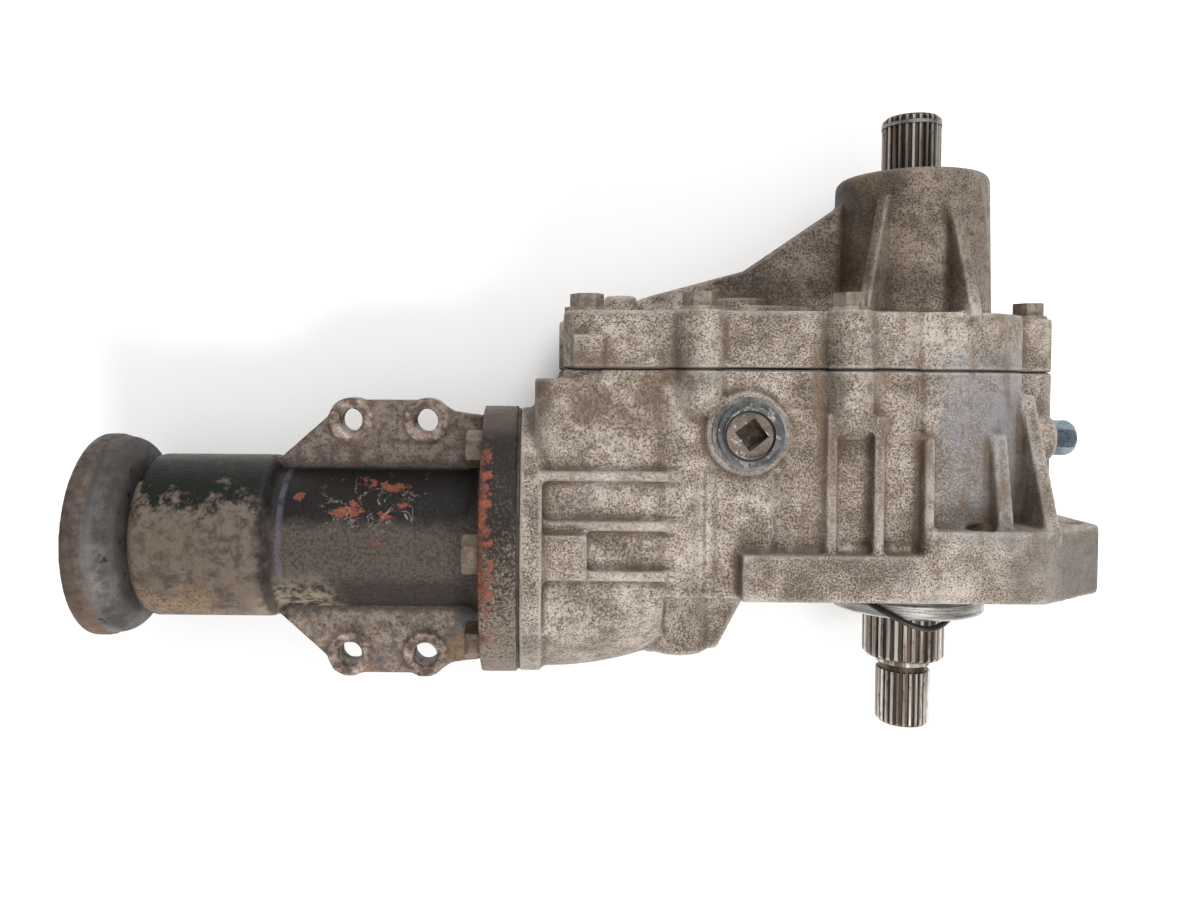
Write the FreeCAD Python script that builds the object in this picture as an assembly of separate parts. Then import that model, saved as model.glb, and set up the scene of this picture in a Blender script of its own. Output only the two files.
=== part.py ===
import FreeCAD, Part
import math
import os

# Transfer case of a transverse-engine four-wheel-drive car, lying on its back.
# Millimetres. The through-shaft axis is the Y axis, and Y = 0 is the face that bolts to the transaxle.
# The output pinion lies along X and points to -X. Z is up, away from the surface the unit lies on.

V = FreeCAD.Vector

# Fits and clearances
RUN_FIT = 0.05          # radial running fit of a shaft in its bush or seal lip
FREE_GAP = 0.5          # gap between parts that turn past each other
BOLT_SLACK = 0.5        # bolt shank to its clearance hole, radial
THREAD_SLACK = 0.1      # bolt shank to its tapped hole, radial
SEAT_DEPTH = 5.0        # how deep cast features run into the wall that carries them

# Main planes along the through shaft
JOINT_Y = 91.5          # joint between the case and the cover
COVER_THICK = 23.5      # height of the cover's side wall
TOWER_HEIGHT = 61.5     # tower above the cover's deck
TOP_SPLINE_REACH = 27.0     # shaft end above the tower
LOWER_SPLINE_REACH = 65.0   # shaft end below the mounting face
SLEEVE_REACH = 35.0     # hollow input shaft below the mounting face
FLOOR_THICK = 5.0       # case wall under the gear room's bearings

# Gear train
MODULE = 2.5
INPUT_TEETH = 29
COUNTER_TEETH = 25
GEAR_WIDTH = 22.0
GEAR_Y = 60.0           # lower face of the spur gears
BEVEL_MODULE = 2.75
RING_TEETH = 31
PINION_TEETH = 13
BEVEL_FACE = 13.0       # tooth length of the bevel pair
BEVEL_LEDGE = 0.8       # root cone beyond each end of the teeth
BACKLASH = 0.2
PRESSURE_ANGLE = 20.0

# Output pinion line
PINION_Y = 16.5
SEAT_X = -172.0         # case face that the pinion retainer bolts to
SHIM_THICK = 1.0
RETAINER_FLANGE_R = 58.6
RETAINER_FLANGE_THICK = 15.0
BARREL_R = 30.5
BARREL_LENGTH = 93.0
NOSE_R = 36.0
NOSE_LENGTH = 56.0
SPIGOT_R = 36.0         # retainer's pilot in the case
SPIGOT_LENGTH = 51.0
RETAINER_BOLTS = 6
RETAINER_BOLT_EDGE = 11.6       # bolt centres to the edge of the retainer's flange
RETAINER_BOLT_R = 4.9
RETAINER_BOLT_FLATS = 14.0
RETAINER_BOLT_HEAD = 7.0

# Ear plate of the retainer
EAR_PITCH_X = 33.5
EAR_PITCH_Y = 104.0
EAR_FIRST_X = -214.0    # hole column nearer the case
EAR_HOLE_R = 5.25
EAR_BOSS_R = 10.0
EAR_BOSS_THICK = 16.0
EAR_THICK = 11.0

# Companion flange
COMPANION_GAP = 3.0     # nose face to the companion flange
COMPANION_LIP_LENGTH = 11.0
COMPANION_RIM = 9.0
COMPANION_R = 44.9
COMPANION_HUB_R = 21.0
COMPANION_PILOT_R = 24.0
COMPANION_HOLES = 4
COMPANION_HOLE_R = 5.25
COMPANION_PCD = 70.0
RIM_GROOVE = 1.6

# Shafts and splines
THROUGH_R = 11.5
THROUGH_TOP_TIP_R = 12.3
THROUGH_LOW_TIP_R = 11.4
THROUGH_SPLINE_DEPTH = 1.15
THROUGH_TEETH = 27
SNAP_GROOVE_DROP = 3.8      # snap ring below the shaft's top end
THROUGH_LOW_SPLINE = 24.0   # length of the lower spline
SLEEVE_TIP_R = 17.3
SLEEVE_SPLINE_DEPTH = 1.35
SLEEVE_TEETH = 30
SLEEVE_BORE_R = 12.6
SLEEVE_SPLINE = 21.0
END_CHAMFER = 1.5

# Bearings: bore radius, outer radius, width
INPUT_BEARING = (20.0, 34.0, 15.0)
TOWER_BEARING = (15.0, 27.5, 13.0)
COUNTER_BEARING = (12.5, 23.5, 12.0)
HEAD_BEARING = (15.0, 31.0, 18.0)
TAIL_BEARING = (13.5, 29.0, 18.0)
RACE_SHARE = 0.3        # ring thickness as a share of the bearing's section
ROLLERS = 12

# Castings
ROOM_GAP = 2.25         # gear room round the input gear
RING_ROOM_GAP = 2.9     # gear room round the ring gear
ROOM_FLOOR_Y = 24.0
WALL = 4.5
CASE_WALL = 3.0         # front and back walls of the case, at their thinnest
BACK_REST = 60.0        # depth of the pads that the unit lies on
BLOCK_HALF_DEPTH = 46.0
BLOCK_LEFT_X = -166.0
BLOCK_TOP_Y = 87.5
CORNER_R = 12.0
HOUSING_END_R = 47.5
BOSS_R = 9.5
COVER_LEFT_X = -152.0
TOWER_R = 31.8
TOWER_DRAFT = 1.5
# Each rib of the tower has its angle from +X towards +Z, its foot's radius, and its top below the tower's.
TOWER_RIBS = ((130.0, 53.5, 10.5), (80.0, 49.5, 13.5), (240.0, 49.0, 10.5), (272.0, 44.0, 13.5))
WEB_DROP = 8.5          # top of the long web below the tower's top
COVER_PAD_HEIGHT = 13.5     # flat pad on the cover's left side, above the joint
FLANGE_FRONT = 56.0
FLANGE_THICK = 18.6
FLANGE_LUG_THICK = 28.6
FLANGE_LEFT_X = -84.0
FLANGE_RIGHT_X = 68.0
FLANGE_EAR_DEPTH = 32.0
FLANGE_HOLE_R = 5.5
RIB = 4.0
RIB_PROUD = 4.5         # front ribs in front of the case wall

# Mounting holes in the flange: place along X, half the spacing along Z
FLANGE_HOLES = ((12.0, 47.0), (58.5, 25.0))
STUD_HOLES = (-60.0, 46.0)      # tapped blind holes on the other side
STUD_HOLE_R = 4.25
STUD_HOLE_DEPTH = 16.0

# Cover bolts
COVER_BOLT_R = 3.95
COVER_BOLT_FLATS = 12.0
COVER_BOLT_HEAD = 5.5
COVER_BOLT_WASHER = 1.5
COVER_BOLT_GRIP = 12.0      # thread in the case
# Each has its X, its side along Z, its inset from that wall, and how far its boss runs below the joint.
COVER_BOLT_STATIONS = (
    (-145.0, 1, 12.5, 14.0), (-100.5, 1, 2.5, 10.0), (-41.0, 1, 1.5, 20.0), (24.0, -1, 5.0, 20.0),
    (-42.0, -1, -2.0, 20.0), (-101.0, -1, -2.0, 20.0), (-145.0, -1, 12.5, 14.0),
)
EAR_BOLT_X = 53.0       # cover bolt at the right, on the shaft's plane
DOWEL_R = 4.0
DOWEL_LENGTH = 14.0
DOWEL_X = -126.0
DOWEL_INSET = 9.0       # dowel centres inside the block's front and back

# Filler plug, drain plug
PLUG_X = -81.5
PLUG_Y = 66.0
PLUG_BOSS_HEIGHT = 3.0      # plug seat in front of the case wall
PLUG_BOSS_R = 16.6
PLUG_R = 10.0
PLUG_FLANGE_R = 13.0
PLUG_WASHER_R = 14.6
PLUG_FLANGE_THICK = 3.0
PLUG_CUP_R = 11.0
PLUG_CUP_HEIGHT = 5.0
PLUG_SQUARE = 9.5
PLUG_WASHER_THICK = 1.5
DRAIN_Y = 63.6
DRAIN_Z = 17.0
DRAIN_FACE_X = 53.0
DRAIN_FLATS = 13.0
DRAIN_HEAD = 10.0
DRAIN_R = 5.0

# Transaxle spigot
CARRIER_R = 32.8
CARRIER_LENGTH = 12.5
CARRIER_PILOT_R = 31.0
CARRIER_GROOVE = (3.8, 6.6)     # start and end of the O-ring groove below the face
SEAL_WIDTH = 9.0
O_RING_WIRE = 2.2
O_RING_STAND = 0.15     # how far the seated O-ring stands out of its groove
CARRIER_SINK = 1.0      # spigot's shoulder sunk below the mounting face
CARRIER_SLACK = 1.0     # spigot to its recess in the mounting face, radial

# Levels that follow from the sizes above
DECK_Y = JOINT_Y + COVER_THICK
TOWER_TOP_Y = DECK_Y + TOWER_HEIGHT
SHAFT_TOP_Y = TOWER_TOP_Y + TOP_SPLINE_REACH
COUNTER_X = -MODULE * (INPUT_TEETH + COUNTER_TEETH) / 2.0
RING_PITCH_R = BEVEL_MODULE * RING_TEETH / 2.0
ROOM_INPUT_R = MODULE * (INPUT_TEETH + 2) / 2.0 + ROOM_GAP
ROOM_COUNTER_R = RING_PITCH_R + RING_ROOM_GAP
CASE_HALF_DEPTH = ROOM_COUNTER_R + CASE_WALL
COVER_BOLT_LENGTH = COVER_THICK + COVER_BOLT_GRIP
COVER_BOLT_PLACES = [(x, side * (CASE_HALF_DEPTH - inset)) for x, side, inset, drop in COVER_BOLT_STATIONS]
COVER_BOLT_PLACES.append((EAR_BOLT_X, 0.0))
DOWEL_PLACES = tuple((DOWEL_X, side * (BLOCK_HALF_DEPTH - DOWEL_INSET)) for side in (1, -1))
RETAINER_BOLT_CIRCLE_R = RETAINER_FLANGE_R - RETAINER_BOLT_EDGE
PLUG_FACE_Z = CASE_HALF_DEPTH + PLUG_BOSS_HEIGHT
CARRIER_GROOVE_R = CARRIER_R + O_RING_STAND - O_RING_WIRE
PINION_PITCH_R = BEVEL_MODULE * PINION_TEETH / 2.0
CONE_LENGTH = math.hypot(RING_PITCH_R, PINION_PITCH_R)
GEAR_TOP_Y = GEAR_Y + GEAR_WIDTH
FLANGE_X = SEAT_X - SHIM_THICK              # retainer flange face on the shim
BARREL_X = FLANGE_X - RETAINER_FLANGE_THICK
NOSE_X = BARREL_X - BARREL_LENGTH
NOSE_END_X = NOSE_X - NOSE_LENGTH
SPIGOT_END_X = FLANGE_X + SPIGOT_LENGTH
HEAD_BEARING_X = SPIGOT_END_X - HEAD_BEARING[2]
TAIL_BEARING_X = NOSE_END_X + 15.0
LIP_X = NOSE_END_X - COMPANION_GAP
RIM_X = LIP_X - COMPANION_LIP_LENGTH
RIM_END_X = RIM_X - COMPANION_RIM
LOWER_BEARING_Y = FLOOR_THICK
UPPER_BEARING_Y = JOINT_Y + 1.5
COUNTER_LOW_Y = FLOOR_THICK
COUNTER_TOP_Y = DECK_Y - 5.0 - COUNTER_BEARING[2]
TOWER_BEARING_Y = TOWER_TOP_Y - SEAL_WIDTH - 3.0 - TOWER_BEARING[2]
RING_BACK_Y = PINION_Y + PINION_PITCH_R + 15.0


# Basic solids
def box(x0, x1, y0, y1, z0, z1):
    """Box between two corners."""
    return Part.makeBox(x1 - x0, y1 - y0, z1 - z0, V(x0, y0, z0))


def cyl_y(radius, y0, y1, x=0.0, z=0.0):
    """Cylinder along Y."""
    return Part.makeCylinder(radius, y1 - y0, V(x, y0, z), V(0, 1, 0))


def cyl_x(radius, x0, x1, y=PINION_Y, z=0.0):
    """Cylinder along X."""
    return Part.makeCylinder(radius, x1 - x0, V(x0, y, z), V(1, 0, 0))


def cyl_z(radius, z0, z1, x, y):
    """Cylinder along Z."""
    return Part.makeCylinder(radius, z1 - z0, V(x, y, z0), V(0, 0, 1))


def fuse_all(shapes):
    """One solid from touching or crossing solids."""
    return shapes[0].multiFuse(shapes[1:]).removeSplitter()


def turned_y(profile, x=0.0, z=0.0):
    """Turned solid about an axis along Y, from (radius, y) corners."""
    points = [V(x + r, y, z) for r, y in profile]
    face = Part.Face(Part.makePolygon(points + points[:1]))
    return face.revolve(V(x, 0, z), V(0, 1, 0), 360)


def turned_x(profile, y=PINION_Y, z=0.0):
    """Turned solid about an axis along X, from (radius, x) corners."""
    points = [V(x, y + r, z) for r, x in profile]
    face = Part.Face(Part.makePolygon(points + points[:1]))
    return face.revolve(V(0, y, z), V(1, 0, 0), 360)


def plan_block(x0, x1, y0, y1, z0, z1, corner):
    """Block whose four edges along Y are rounded."""
    block = box(x0, x1, y0, y1, z0, z1)
    upright = [e for e in block.Edges if abs(e.Vertexes[0].Y - e.Vertexes[1].Y) > (y1 - y0) / 2.0]
    return block.makeFillet(corner, upright)


def soften(shape, radius, keep):
    """Rounds the edges of one simple solid that the test accepts."""
    return shape.makeFillet(radius, [e for e in shape.Edges if keep(e.CenterOfMass)])


def prism_z(points, z0, z1):
    """Flat outline in the XY plane, raised from z0 to z1."""
    corners = [V(x, y, z0) for x, y in points]
    return Part.Face(Part.makePolygon(corners + corners[:1])).extrude(V(0, 0, z1 - z0))


def prism_y(points, y0, y1):
    """Flat outline in the XZ plane, raised from y0 to y1."""
    corners = [V(x, y0, z) for x, z in points]
    return Part.Face(Part.makePolygon(corners + corners[:1])).extrude(V(0, y1 - y0, 0))


def prism_x(points, x0, x1):
    """Flat outline of (y, z) corners, raised from x0 to x1."""
    corners = [V(x0, y, z) for y, z in points]
    return Part.Face(Part.makePolygon(corners + corners[:1])).extrude(V(x1 - x0, 0, 0))


def around_y(shape, angle, x=0.0):
    """Copy turned about an axis along Y."""
    copy = shape.copy()
    copy.rotate(V(x, 0, 0), V(0, 1, 0), angle)
    return copy


def around_pinion(shape, angle):
    """Copy turned about the pinion axis."""
    copy = shape.copy()
    copy.rotate(V(0, PINION_Y, 0), V(1, 0, 0), angle)
    return copy


def hexagon(flats):
    """Corners of a hexagon by its width across flats, as (u, v) pairs."""
    radius = flats / math.sqrt(3.0)
    return [(radius * math.cos(math.radians(60 * i)), radius * math.sin(math.radians(60 * i))) for i in range(6)]


# Toothed forms
def spline_y(root_r, tip_r, teeth, y0, y1, chamfered_low, chamfered_high):
    """Outside spline along Y, with a chamfer on the ends that stay open."""
    pitch = 2.0 * math.pi / teeth
    corners = []
    for i in range(teeth):
        for share, radius in ((-0.33, root_r), (-0.17, tip_r), (0.17, tip_r), (0.33, root_r)):
            angle = pitch * (i + share)
            corners.append((radius * math.cos(angle), radius * math.sin(angle)))
    low = END_CHAMFER if chamfered_low else 0.0
    high = END_CHAMFER if chamfered_high else 0.0
    blank = turned_y([(0, y0), (tip_r - low, y0), (tip_r, y0 + low), (tip_r, y1 - high), (tip_r - high, y1),
                      (0, y1)])
    return prism_y(corners, y0, y1).common(blank)


def involute_half_angle(pitch_r, radius, teeth, backlash):
    """Half the angle that a tooth takes at a radius."""
    base_r = pitch_r * math.cos(math.radians(PRESSURE_ANGLE))
    half_pitch = math.pi / (2.0 * teeth) - backlash / (4.0 * pitch_r)

    def spread(r):
        turn = math.acos(min(1.0, base_r / r))
        return math.tan(turn) - turn

    return half_pitch + spread(pitch_r) - spread(max(radius, base_r))


def tooth_outline(pitch_r, module, teeth, root_r):
    """Three points on each flank of a tooth and its root, as (radius, half angle)."""
    tip_r = pitch_r + 0.92 * module
    base_r = pitch_r * math.cos(math.radians(PRESSURE_ANGLE))
    start_r = max(base_r, root_r)
    radii = (start_r, (start_r + tip_r) / 2.0, tip_r)
    return [(r, involute_half_angle(pitch_r, r, teeth, BACKLASH)) for r in radii]


def spur_gear(teeth, y0, y1, bore_r, x=0.0):
    """Spur gear about an axis along Y, with a tooth that points to +X."""
    pitch_r = MODULE * teeth / 2.0
    root_r = pitch_r - 1.25 * MODULE
    flank = tooth_outline(pitch_r, MODULE, teeth, root_r)
    step = 2.0 * math.pi / teeth

    def point(radius, angle):
        return V(radius * math.cos(angle), y0, -radius * math.sin(angle))

    edges = []
    for i in range(teeth):
        centre = i * step
        foot = flank[0][1]
        rise = [point(r, centre - a) for r, a in flank]
        fall = [point(r, centre + a) for r, a in reversed(flank)]
        low = point(root_r, centre - foot)
        high = point(root_r, centre + foot)
        after = point(root_r, centre + step - foot)
        edges.append(Part.LineSegment(low, rise[0]).toShape())
        edges.append(Part.Arc(rise[0], rise[1], rise[2]).toShape())
        edges.append(Part.LineSegment(rise[2], fall[0]).toShape())
        edges.append(Part.Arc(fall[0], fall[1], fall[2]).toShape())
        edges.append(Part.LineSegment(fall[2], high).toShape())
        edges.append(Part.LineSegment(high, after).toShape())
    gear = Part.Face(Part.Wire(edges)).extrude(V(0, y1 - y0, 0))
    gear.translate(V(x, 0, 0))
    return gear.cut(cyl_y(bore_r, y0, y1, x))


def bevel_tooth(pitch_r, mate_r, teeth):
    """One straight bevel tooth, with the cone's apex at the origin, its axis along +Z and the tooth on +X."""
    tilt = math.atan2(pitch_r, mate_r)
    virtual_r = pitch_r / math.cos(tilt)
    virtual_teeth = teeth / math.cos(tilt)
    root_r = virtual_r - 1.25 * BEVEL_MODULE
    flank = tooth_outline(virtual_r, BEVEL_MODULE, virtual_teeth, root_r)
    buried = (root_r - 0.4, flank[0][1])
    outward = V(math.cos(tilt), 0, -math.sin(tilt))
    pitch_point = V(pitch_r, 0, mate_r)

    def wire(scale):
        def point(radius, angle):
            along = radius * math.cos(angle) - virtual_r
            across = radius * math.sin(angle)
            return (pitch_point + outward * along + V(0, across, 0)) * scale

        rise = [point(r, -a) for r, a in flank]
        fall = [point(r, a) for r, a in reversed(flank)]
        low = point(buried[0], -buried[1])
        high = point(buried[0], buried[1])
        return Part.Wire([
            Part.LineSegment(low, rise[0]).toShape(),
            Part.Arc(rise[0], rise[1], rise[2]).toShape(),
            Part.LineSegment(rise[2], fall[0]).toShape(),
            Part.Arc(fall[0], fall[1], fall[2]).toShape(),
            Part.LineSegment(fall[2], high).toShape(),
            Part.LineSegment(high, low).toShape(),
        ])

    return Part.makeLoft([wire(1.0), wire(1.0 - BEVEL_FACE / CONE_LENGTH)], True, True)


def bevel_teeth(pitch_r, mate_r, teeth):
    """All the teeth of a bevel gear, about +Z."""
    tooth = bevel_tooth(pitch_r, mate_r, teeth)
    ring = []
    for i in range(teeth):
        copy = tooth.copy()
        copy.rotate(V(0, 0, 0), V(0, 0, 1), 360.0 * i / teeth)
        ring.append(copy)
    return ring


def bevel_root(pitch_r, mate_r):
    """Root cone of a bevel gear, a little longer than its teeth: radius and height at its large and small ends."""
    tilt = math.atan2(pitch_r, mate_r)
    drop = 1.25 * BEVEL_MODULE
    end_r = pitch_r - drop * math.cos(tilt)
    end_h = mate_r + drop * math.sin(tilt)
    large = 1.0 + BEVEL_LEDGE / CONE_LENGTH
    small = 1.0 - (BEVEL_FACE + BEVEL_LEDGE) / CONE_LENGTH
    return (end_r * large, end_h * large), (end_r * small, end_h * small)


# Bolts
def hex_bolt_x(x_seat, y, z, shank_r, shank, flats, head):
    """Hexagon bolt whose shank points to +X."""
    corners = [(y + u, z + v) for u, v in hexagon(flats)]
    crown = turned_x([(0, x_seat - head), (flats * 0.5, x_seat - head), (flats * 0.6, x_seat - head + 1.0),
                      (flats * 0.6, x_seat), (0, x_seat)], y, z)
    return prism_x(corners, x_seat - head, x_seat).common(crown).fuse(cyl_x(shank_r, x_seat, x_seat + shank, y, z))


def cover_bolt(x, z):
    """Flanged hexagon bolt whose shank points to -Y."""
    corners = [(x + u, z + v) for u, v in hexagon(COVER_BOLT_FLATS)]
    base = DECK_Y
    top = base + COVER_BOLT_WASHER + COVER_BOLT_HEAD
    return fuse_all([
        turned_y([(0, base), (COVER_BOLT_FLATS * 0.66, base), (COVER_BOLT_FLATS * 0.6, base + COVER_BOLT_WASHER),
                  (0, base + COVER_BOLT_WASHER)], x, z),
        prism_y(corners, base + COVER_BOLT_WASHER, top),
        cyl_y(COVER_BOLT_R, base - COVER_BOLT_LENGTH, base, x, z),
    ])


def retainer_bolt_places():
    """Y and Z of each retainer bolt, the first at the top."""
    for i in range(RETAINER_BOLTS):
        angle = math.radians(90.0 + 360.0 * i / RETAINER_BOLTS)
        yield PINION_Y + RETAINER_BOLT_CIRCLE_R * math.cos(angle), RETAINER_BOLT_CIRCLE_R * math.sin(angle)


# Castings
def gear_room(y0, y1):
    """Room inside the castings round the two gear axes."""
    return fuse_all([
        cyl_y(ROOM_INPUT_R, y0, y1),
        cyl_y(ROOM_COUNTER_R, y0, y1, COUNTER_X),
        box(COUNTER_X, 0, y0, y1, -ROOM_INPUT_R, ROOM_INPUT_R),
    ])


def boss_column(x, z, y0, y1):
    """Bolt boss along Y with a rounded lower end."""
    return cyl_y(BOSS_R, y0, y1, x, z).fuse(Part.makeSphere(BOSS_R, V(x, y0, z)))


def mounting_flange():
    """Flange that bolts to the transaxle, thicker where the lugs are."""
    outline = [(FLANGE_LEFT_X, FLANGE_FRONT), (34.0, FLANGE_FRONT), (FLANGE_RIGHT_X, FLANGE_EAR_DEPTH),
               (FLANGE_RIGHT_X, -FLANGE_EAR_DEPTH), (34.0, -BACK_REST), (FLANGE_LEFT_X, -BACK_REST)]
    plate = prism_y(outline, 0.0, FLANGE_THICK)
    lug_left = -11.0
    lugs = prism_y([(lug_left, FLANGE_FRONT)] + outline[1:5] + [(lug_left, -BACK_REST)], 0.0, FLANGE_LUG_THICK)
    return fuse_all([plate, lugs])


def pinion_housing():
    """Round housing of the pinion, with the flange that its retainer bolts to."""
    neck_x = SEAT_X + 9.0
    end_x = COUNTER_X - ROOM_COUNTER_R
    start = V(neck_x, PINION_Y + 56.0, 0)
    middle = V((neck_x + end_x) / 2.0, PINION_Y + 54.0, 0)
    end = V(end_x, PINION_Y + HOUSING_END_R, 0)
    edges = [
        Part.LineSegment(V(SEAT_X, PINION_Y, 0), V(SEAT_X, PINION_Y + RETAINER_FLANGE_R - 0.5, 0)).toShape(),
        Part.LineSegment(V(SEAT_X, PINION_Y + RETAINER_FLANGE_R - 0.5, 0),
                         V(neck_x, PINION_Y + RETAINER_FLANGE_R - 0.5, 0)).toShape(),
        Part.LineSegment(V(neck_x, PINION_Y + RETAINER_FLANGE_R - 0.5, 0), start).toShape(),
        Part.Arc(start, middle, end).toShape(),
        Part.LineSegment(end, V(end_x, PINION_Y, 0)).toShape(),
        Part.LineSegment(V(end_x, PINION_Y, 0), V(SEAT_X, PINION_Y, 0)).toShape(),
    ]
    housing = Part.Face(Part.Wire(edges)).revolve(V(0, PINION_Y, 0), V(1, 0, 0), 360)
    front = box(neck_x, end_x, PINION_Y - 80, PINION_Y + 80, BLOCK_HALF_DEPTH, 80)
    return housing.cut(front).cut(box(neck_x, end_x, PINION_Y - 80, PINION_Y + 80, -80, -BLOCK_HALF_DEPTH))


def front_ribs():
    """Ribs and panels on the front of the case."""
    wall = CASE_HALF_DEPTH
    root = wall - 2 * SEAT_DEPTH
    proud = wall + RIB_PROUD
    ribs = []
    for y in (48.5, 28.5, 8.5):
        outline = [(SEAT_X + 7.0, BLOCK_HALF_DEPTH - SEAT_DEPTH), (SEAT_X + 7.0, wall + 2.0),
                   (-108.0, wall + 1.5), (-97.0, wall - SEAT_DEPTH)]
        ribs.append(prism_y(outline, y - RIB / 2.0, y + RIB / 2.0))
    # Upright edge of the pinion block, and the flat panel beside the plug
    ribs.append(box(-100.5, -95.5, 4.0, 50.0, root, wall + 1.5))
    ribs.append(box(-65.5, -52.0, FLANGE_THICK - SEAT_DEPTH, 75.0, root, wall + 1.2))
    for x, top in ((-49.0, 74.0), (-30.2, 73.0), (-10.5, 65.0)):
        profile = [(FLANGE_THICK - SEAT_DEPTH, root), (FLANGE_THICK - SEAT_DEPTH, proud + 1.0), (top, proud),
                   (top, root)]
        ribs.append(prism_x(profile, x - RIB / 2.0, x + RIB / 2.0))
    ribs.append(box(-34.0, -26.5, 67.0, 73.5, root, proud + 0.5))
    for x, top, foot in ((20.5, 66.0, 38.0), (39.5, 82.0, 22.0)):
        profile = [(FLANGE_LUG_THICK - SEAT_DEPTH, foot - SEAT_DEPTH), (FLANGE_LUG_THICK - SEAT_DEPTH, proud),
                   (top, foot + 6.5), (top, foot - SEAT_DEPTH)]
        ribs.append(prism_x(profile, x - RIB * 0.75, x + RIB * 0.75))
    return ribs


def main_case():
    """Aluminium case with the gear room, the mounting flange and the pinion housing."""
    wall = CASE_HALF_DEPTH
    bolt_z = RETAINER_BOLT_CIRCLE_R     # the bolts level with the pinion
    bosses = [boss_column(x, side * (wall - inset), JOINT_Y - drop, JOINT_Y)
              for x, side, inset, drop in COVER_BOLT_STATIONS]
    pocket = plan_block(-48.0, -13.0, FLANGE_THICK + 1.5, 64.0, wall - 2.0, wall + 20.0, 1.5)
    groove = box(-71.5, -68.0, FLANGE_THICK, 51.0, wall - 1.2, wall + 20.0)
    body = fuse_all([
        plan_block(-120.0, -8.0, 0.0, JOINT_Y, -wall, wall, CORNER_R),
        cyl_y(ROOM_INPUT_R + WALL, 0.0, JOINT_Y),
        plan_block(COVER_LEFT_X, -100.0, BLOCK_TOP_Y - 10.0, JOINT_Y, -BLOCK_HALF_DEPTH, BLOCK_HALF_DEPTH,
                   CORNER_R),
        plan_block(BLOCK_LEFT_X, -100.0, PINION_Y, BLOCK_TOP_Y, -BLOCK_HALF_DEPTH, BLOCK_HALF_DEPTH, CORNER_R),
        pinion_housing(),
        mounting_flange(),
        cyl_y(12.4, -28.0, 20.0, -105.0, 20.0),
        prism_z([(-118.0, -29.0), (-88.0, -27.0), (-73.0, 2.0), (-118.0, 10.0)], -14.0, 24.0),
        cyl_z(PLUG_BOSS_R, wall - 2 * SEAT_DEPTH, PLUG_FACE_Z, PLUG_X, PLUG_Y),
        box(30.0, EAR_BOLT_X, FLANGE_LUG_THICK - 1.0, JOINT_Y, -BOSS_R, BOSS_R),
        boss_column(EAR_BOLT_X, 0.0, FLANGE_LUG_THICK, JOINT_Y),
        box(SEAT_X + 7.0, -145.0, PINION_Y - 9.0, PINION_Y + 9.0, bolt_z - 9.0, bolt_z + 7.5),
        box(SEAT_X + 7.0, -145.0, PINION_Y - 9.0, PINION_Y + 9.0, -bolt_z - 7.5, 9.0 - bolt_z),
        cyl_x(10.0, 30.0, DRAIN_FACE_X, DRAIN_Y, DRAIN_Z),
    ] + bosses)
    body = fuse_all([body.cut([pocket, groove])] + front_ribs())
    cuts = [
        gear_room(ROOM_FLOOR_Y, JOINT_Y),
        cyl_y(INPUT_BEARING[1], LOWER_BEARING_Y, ROOM_FLOOR_Y),
        cyl_y(CARRIER_PILOT_R, -1.0, LOWER_BEARING_Y),
        cyl_y(CARRIER_R + CARRIER_SLACK, -1.0, CARRIER_SINK),
        cyl_y(COUNTER_BEARING[1], COUNTER_LOW_Y, ROOM_FLOOR_Y, COUNTER_X),
        cyl_x(SPIGOT_R, SEAT_X - 1.0, SPIGOT_END_X + 1.0),
        cyl_x(PINION_PITCH_R + 6.0, SPIGOT_END_X, COUNTER_X - COUNTER_BEARING[1] - 4.5),
        cyl_z(PLUG_R, ROOM_COUNTER_R - 20.0, PLUG_FACE_Z + 1.0, PLUG_X, PLUG_Y),
        cyl_x(DRAIN_R, ROOM_INPUT_R - 10.0, DRAIN_FACE_X + 1.0, DRAIN_Y, DRAIN_Z),
        cyl_y(5.0, -29.0, -8.0, -105.0, 20.0),
    ]
    for x, half in FLANGE_HOLES:
        cuts += [cyl_y(FLANGE_HOLE_R, -1.0, FLANGE_LUG_THICK + 1.0, x, side * half) for side in (-1, 1)]
    for side in (-1, 1):
        cuts.append(cyl_y(STUD_HOLE_R, -1.0, STUD_HOLE_DEPTH, STUD_HOLES[0], side * STUD_HOLES[1]))
    for x, z in COVER_BOLT_PLACES:
        cuts.append(cyl_y(COVER_BOLT_R + THREAD_SLACK, DECK_Y - COVER_BOLT_LENGTH - 3.0, JOINT_Y + 1.0, x, z))
    for x, z in DOWEL_PLACES:
        cuts.append(cyl_y(DOWEL_R, JOINT_Y - DOWEL_LENGTH / 2.0, JOINT_Y + 1.0, x, z))
    for y, z in retainer_bolt_places():
        cuts.append(cyl_x(RETAINER_BOLT_R + THREAD_SLACK, SEAT_X - 1.0, SEAT_X + 21.0, y, z))
    return body.cut(cuts)


def tower_rib(angle, foot_r, drop):
    """Tapered rib between the tower and the deck, standing out at an angle from +X towards +Z."""
    top_y = TOWER_TOP_Y - drop
    profile = [(TOWER_R - SEAT_DEPTH, DECK_Y - 2.0), (foot_r, DECK_Y - 2.0), (foot_r, DECK_Y + 1.0),
               (TOWER_R + 0.5, top_y), (TOWER_R - SEAT_DEPTH, top_y + 3.0)]
    return around_y(prism_z(profile, -RIB / 2.0 - 0.5, RIB / 2.0 + 0.5), -angle)


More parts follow.
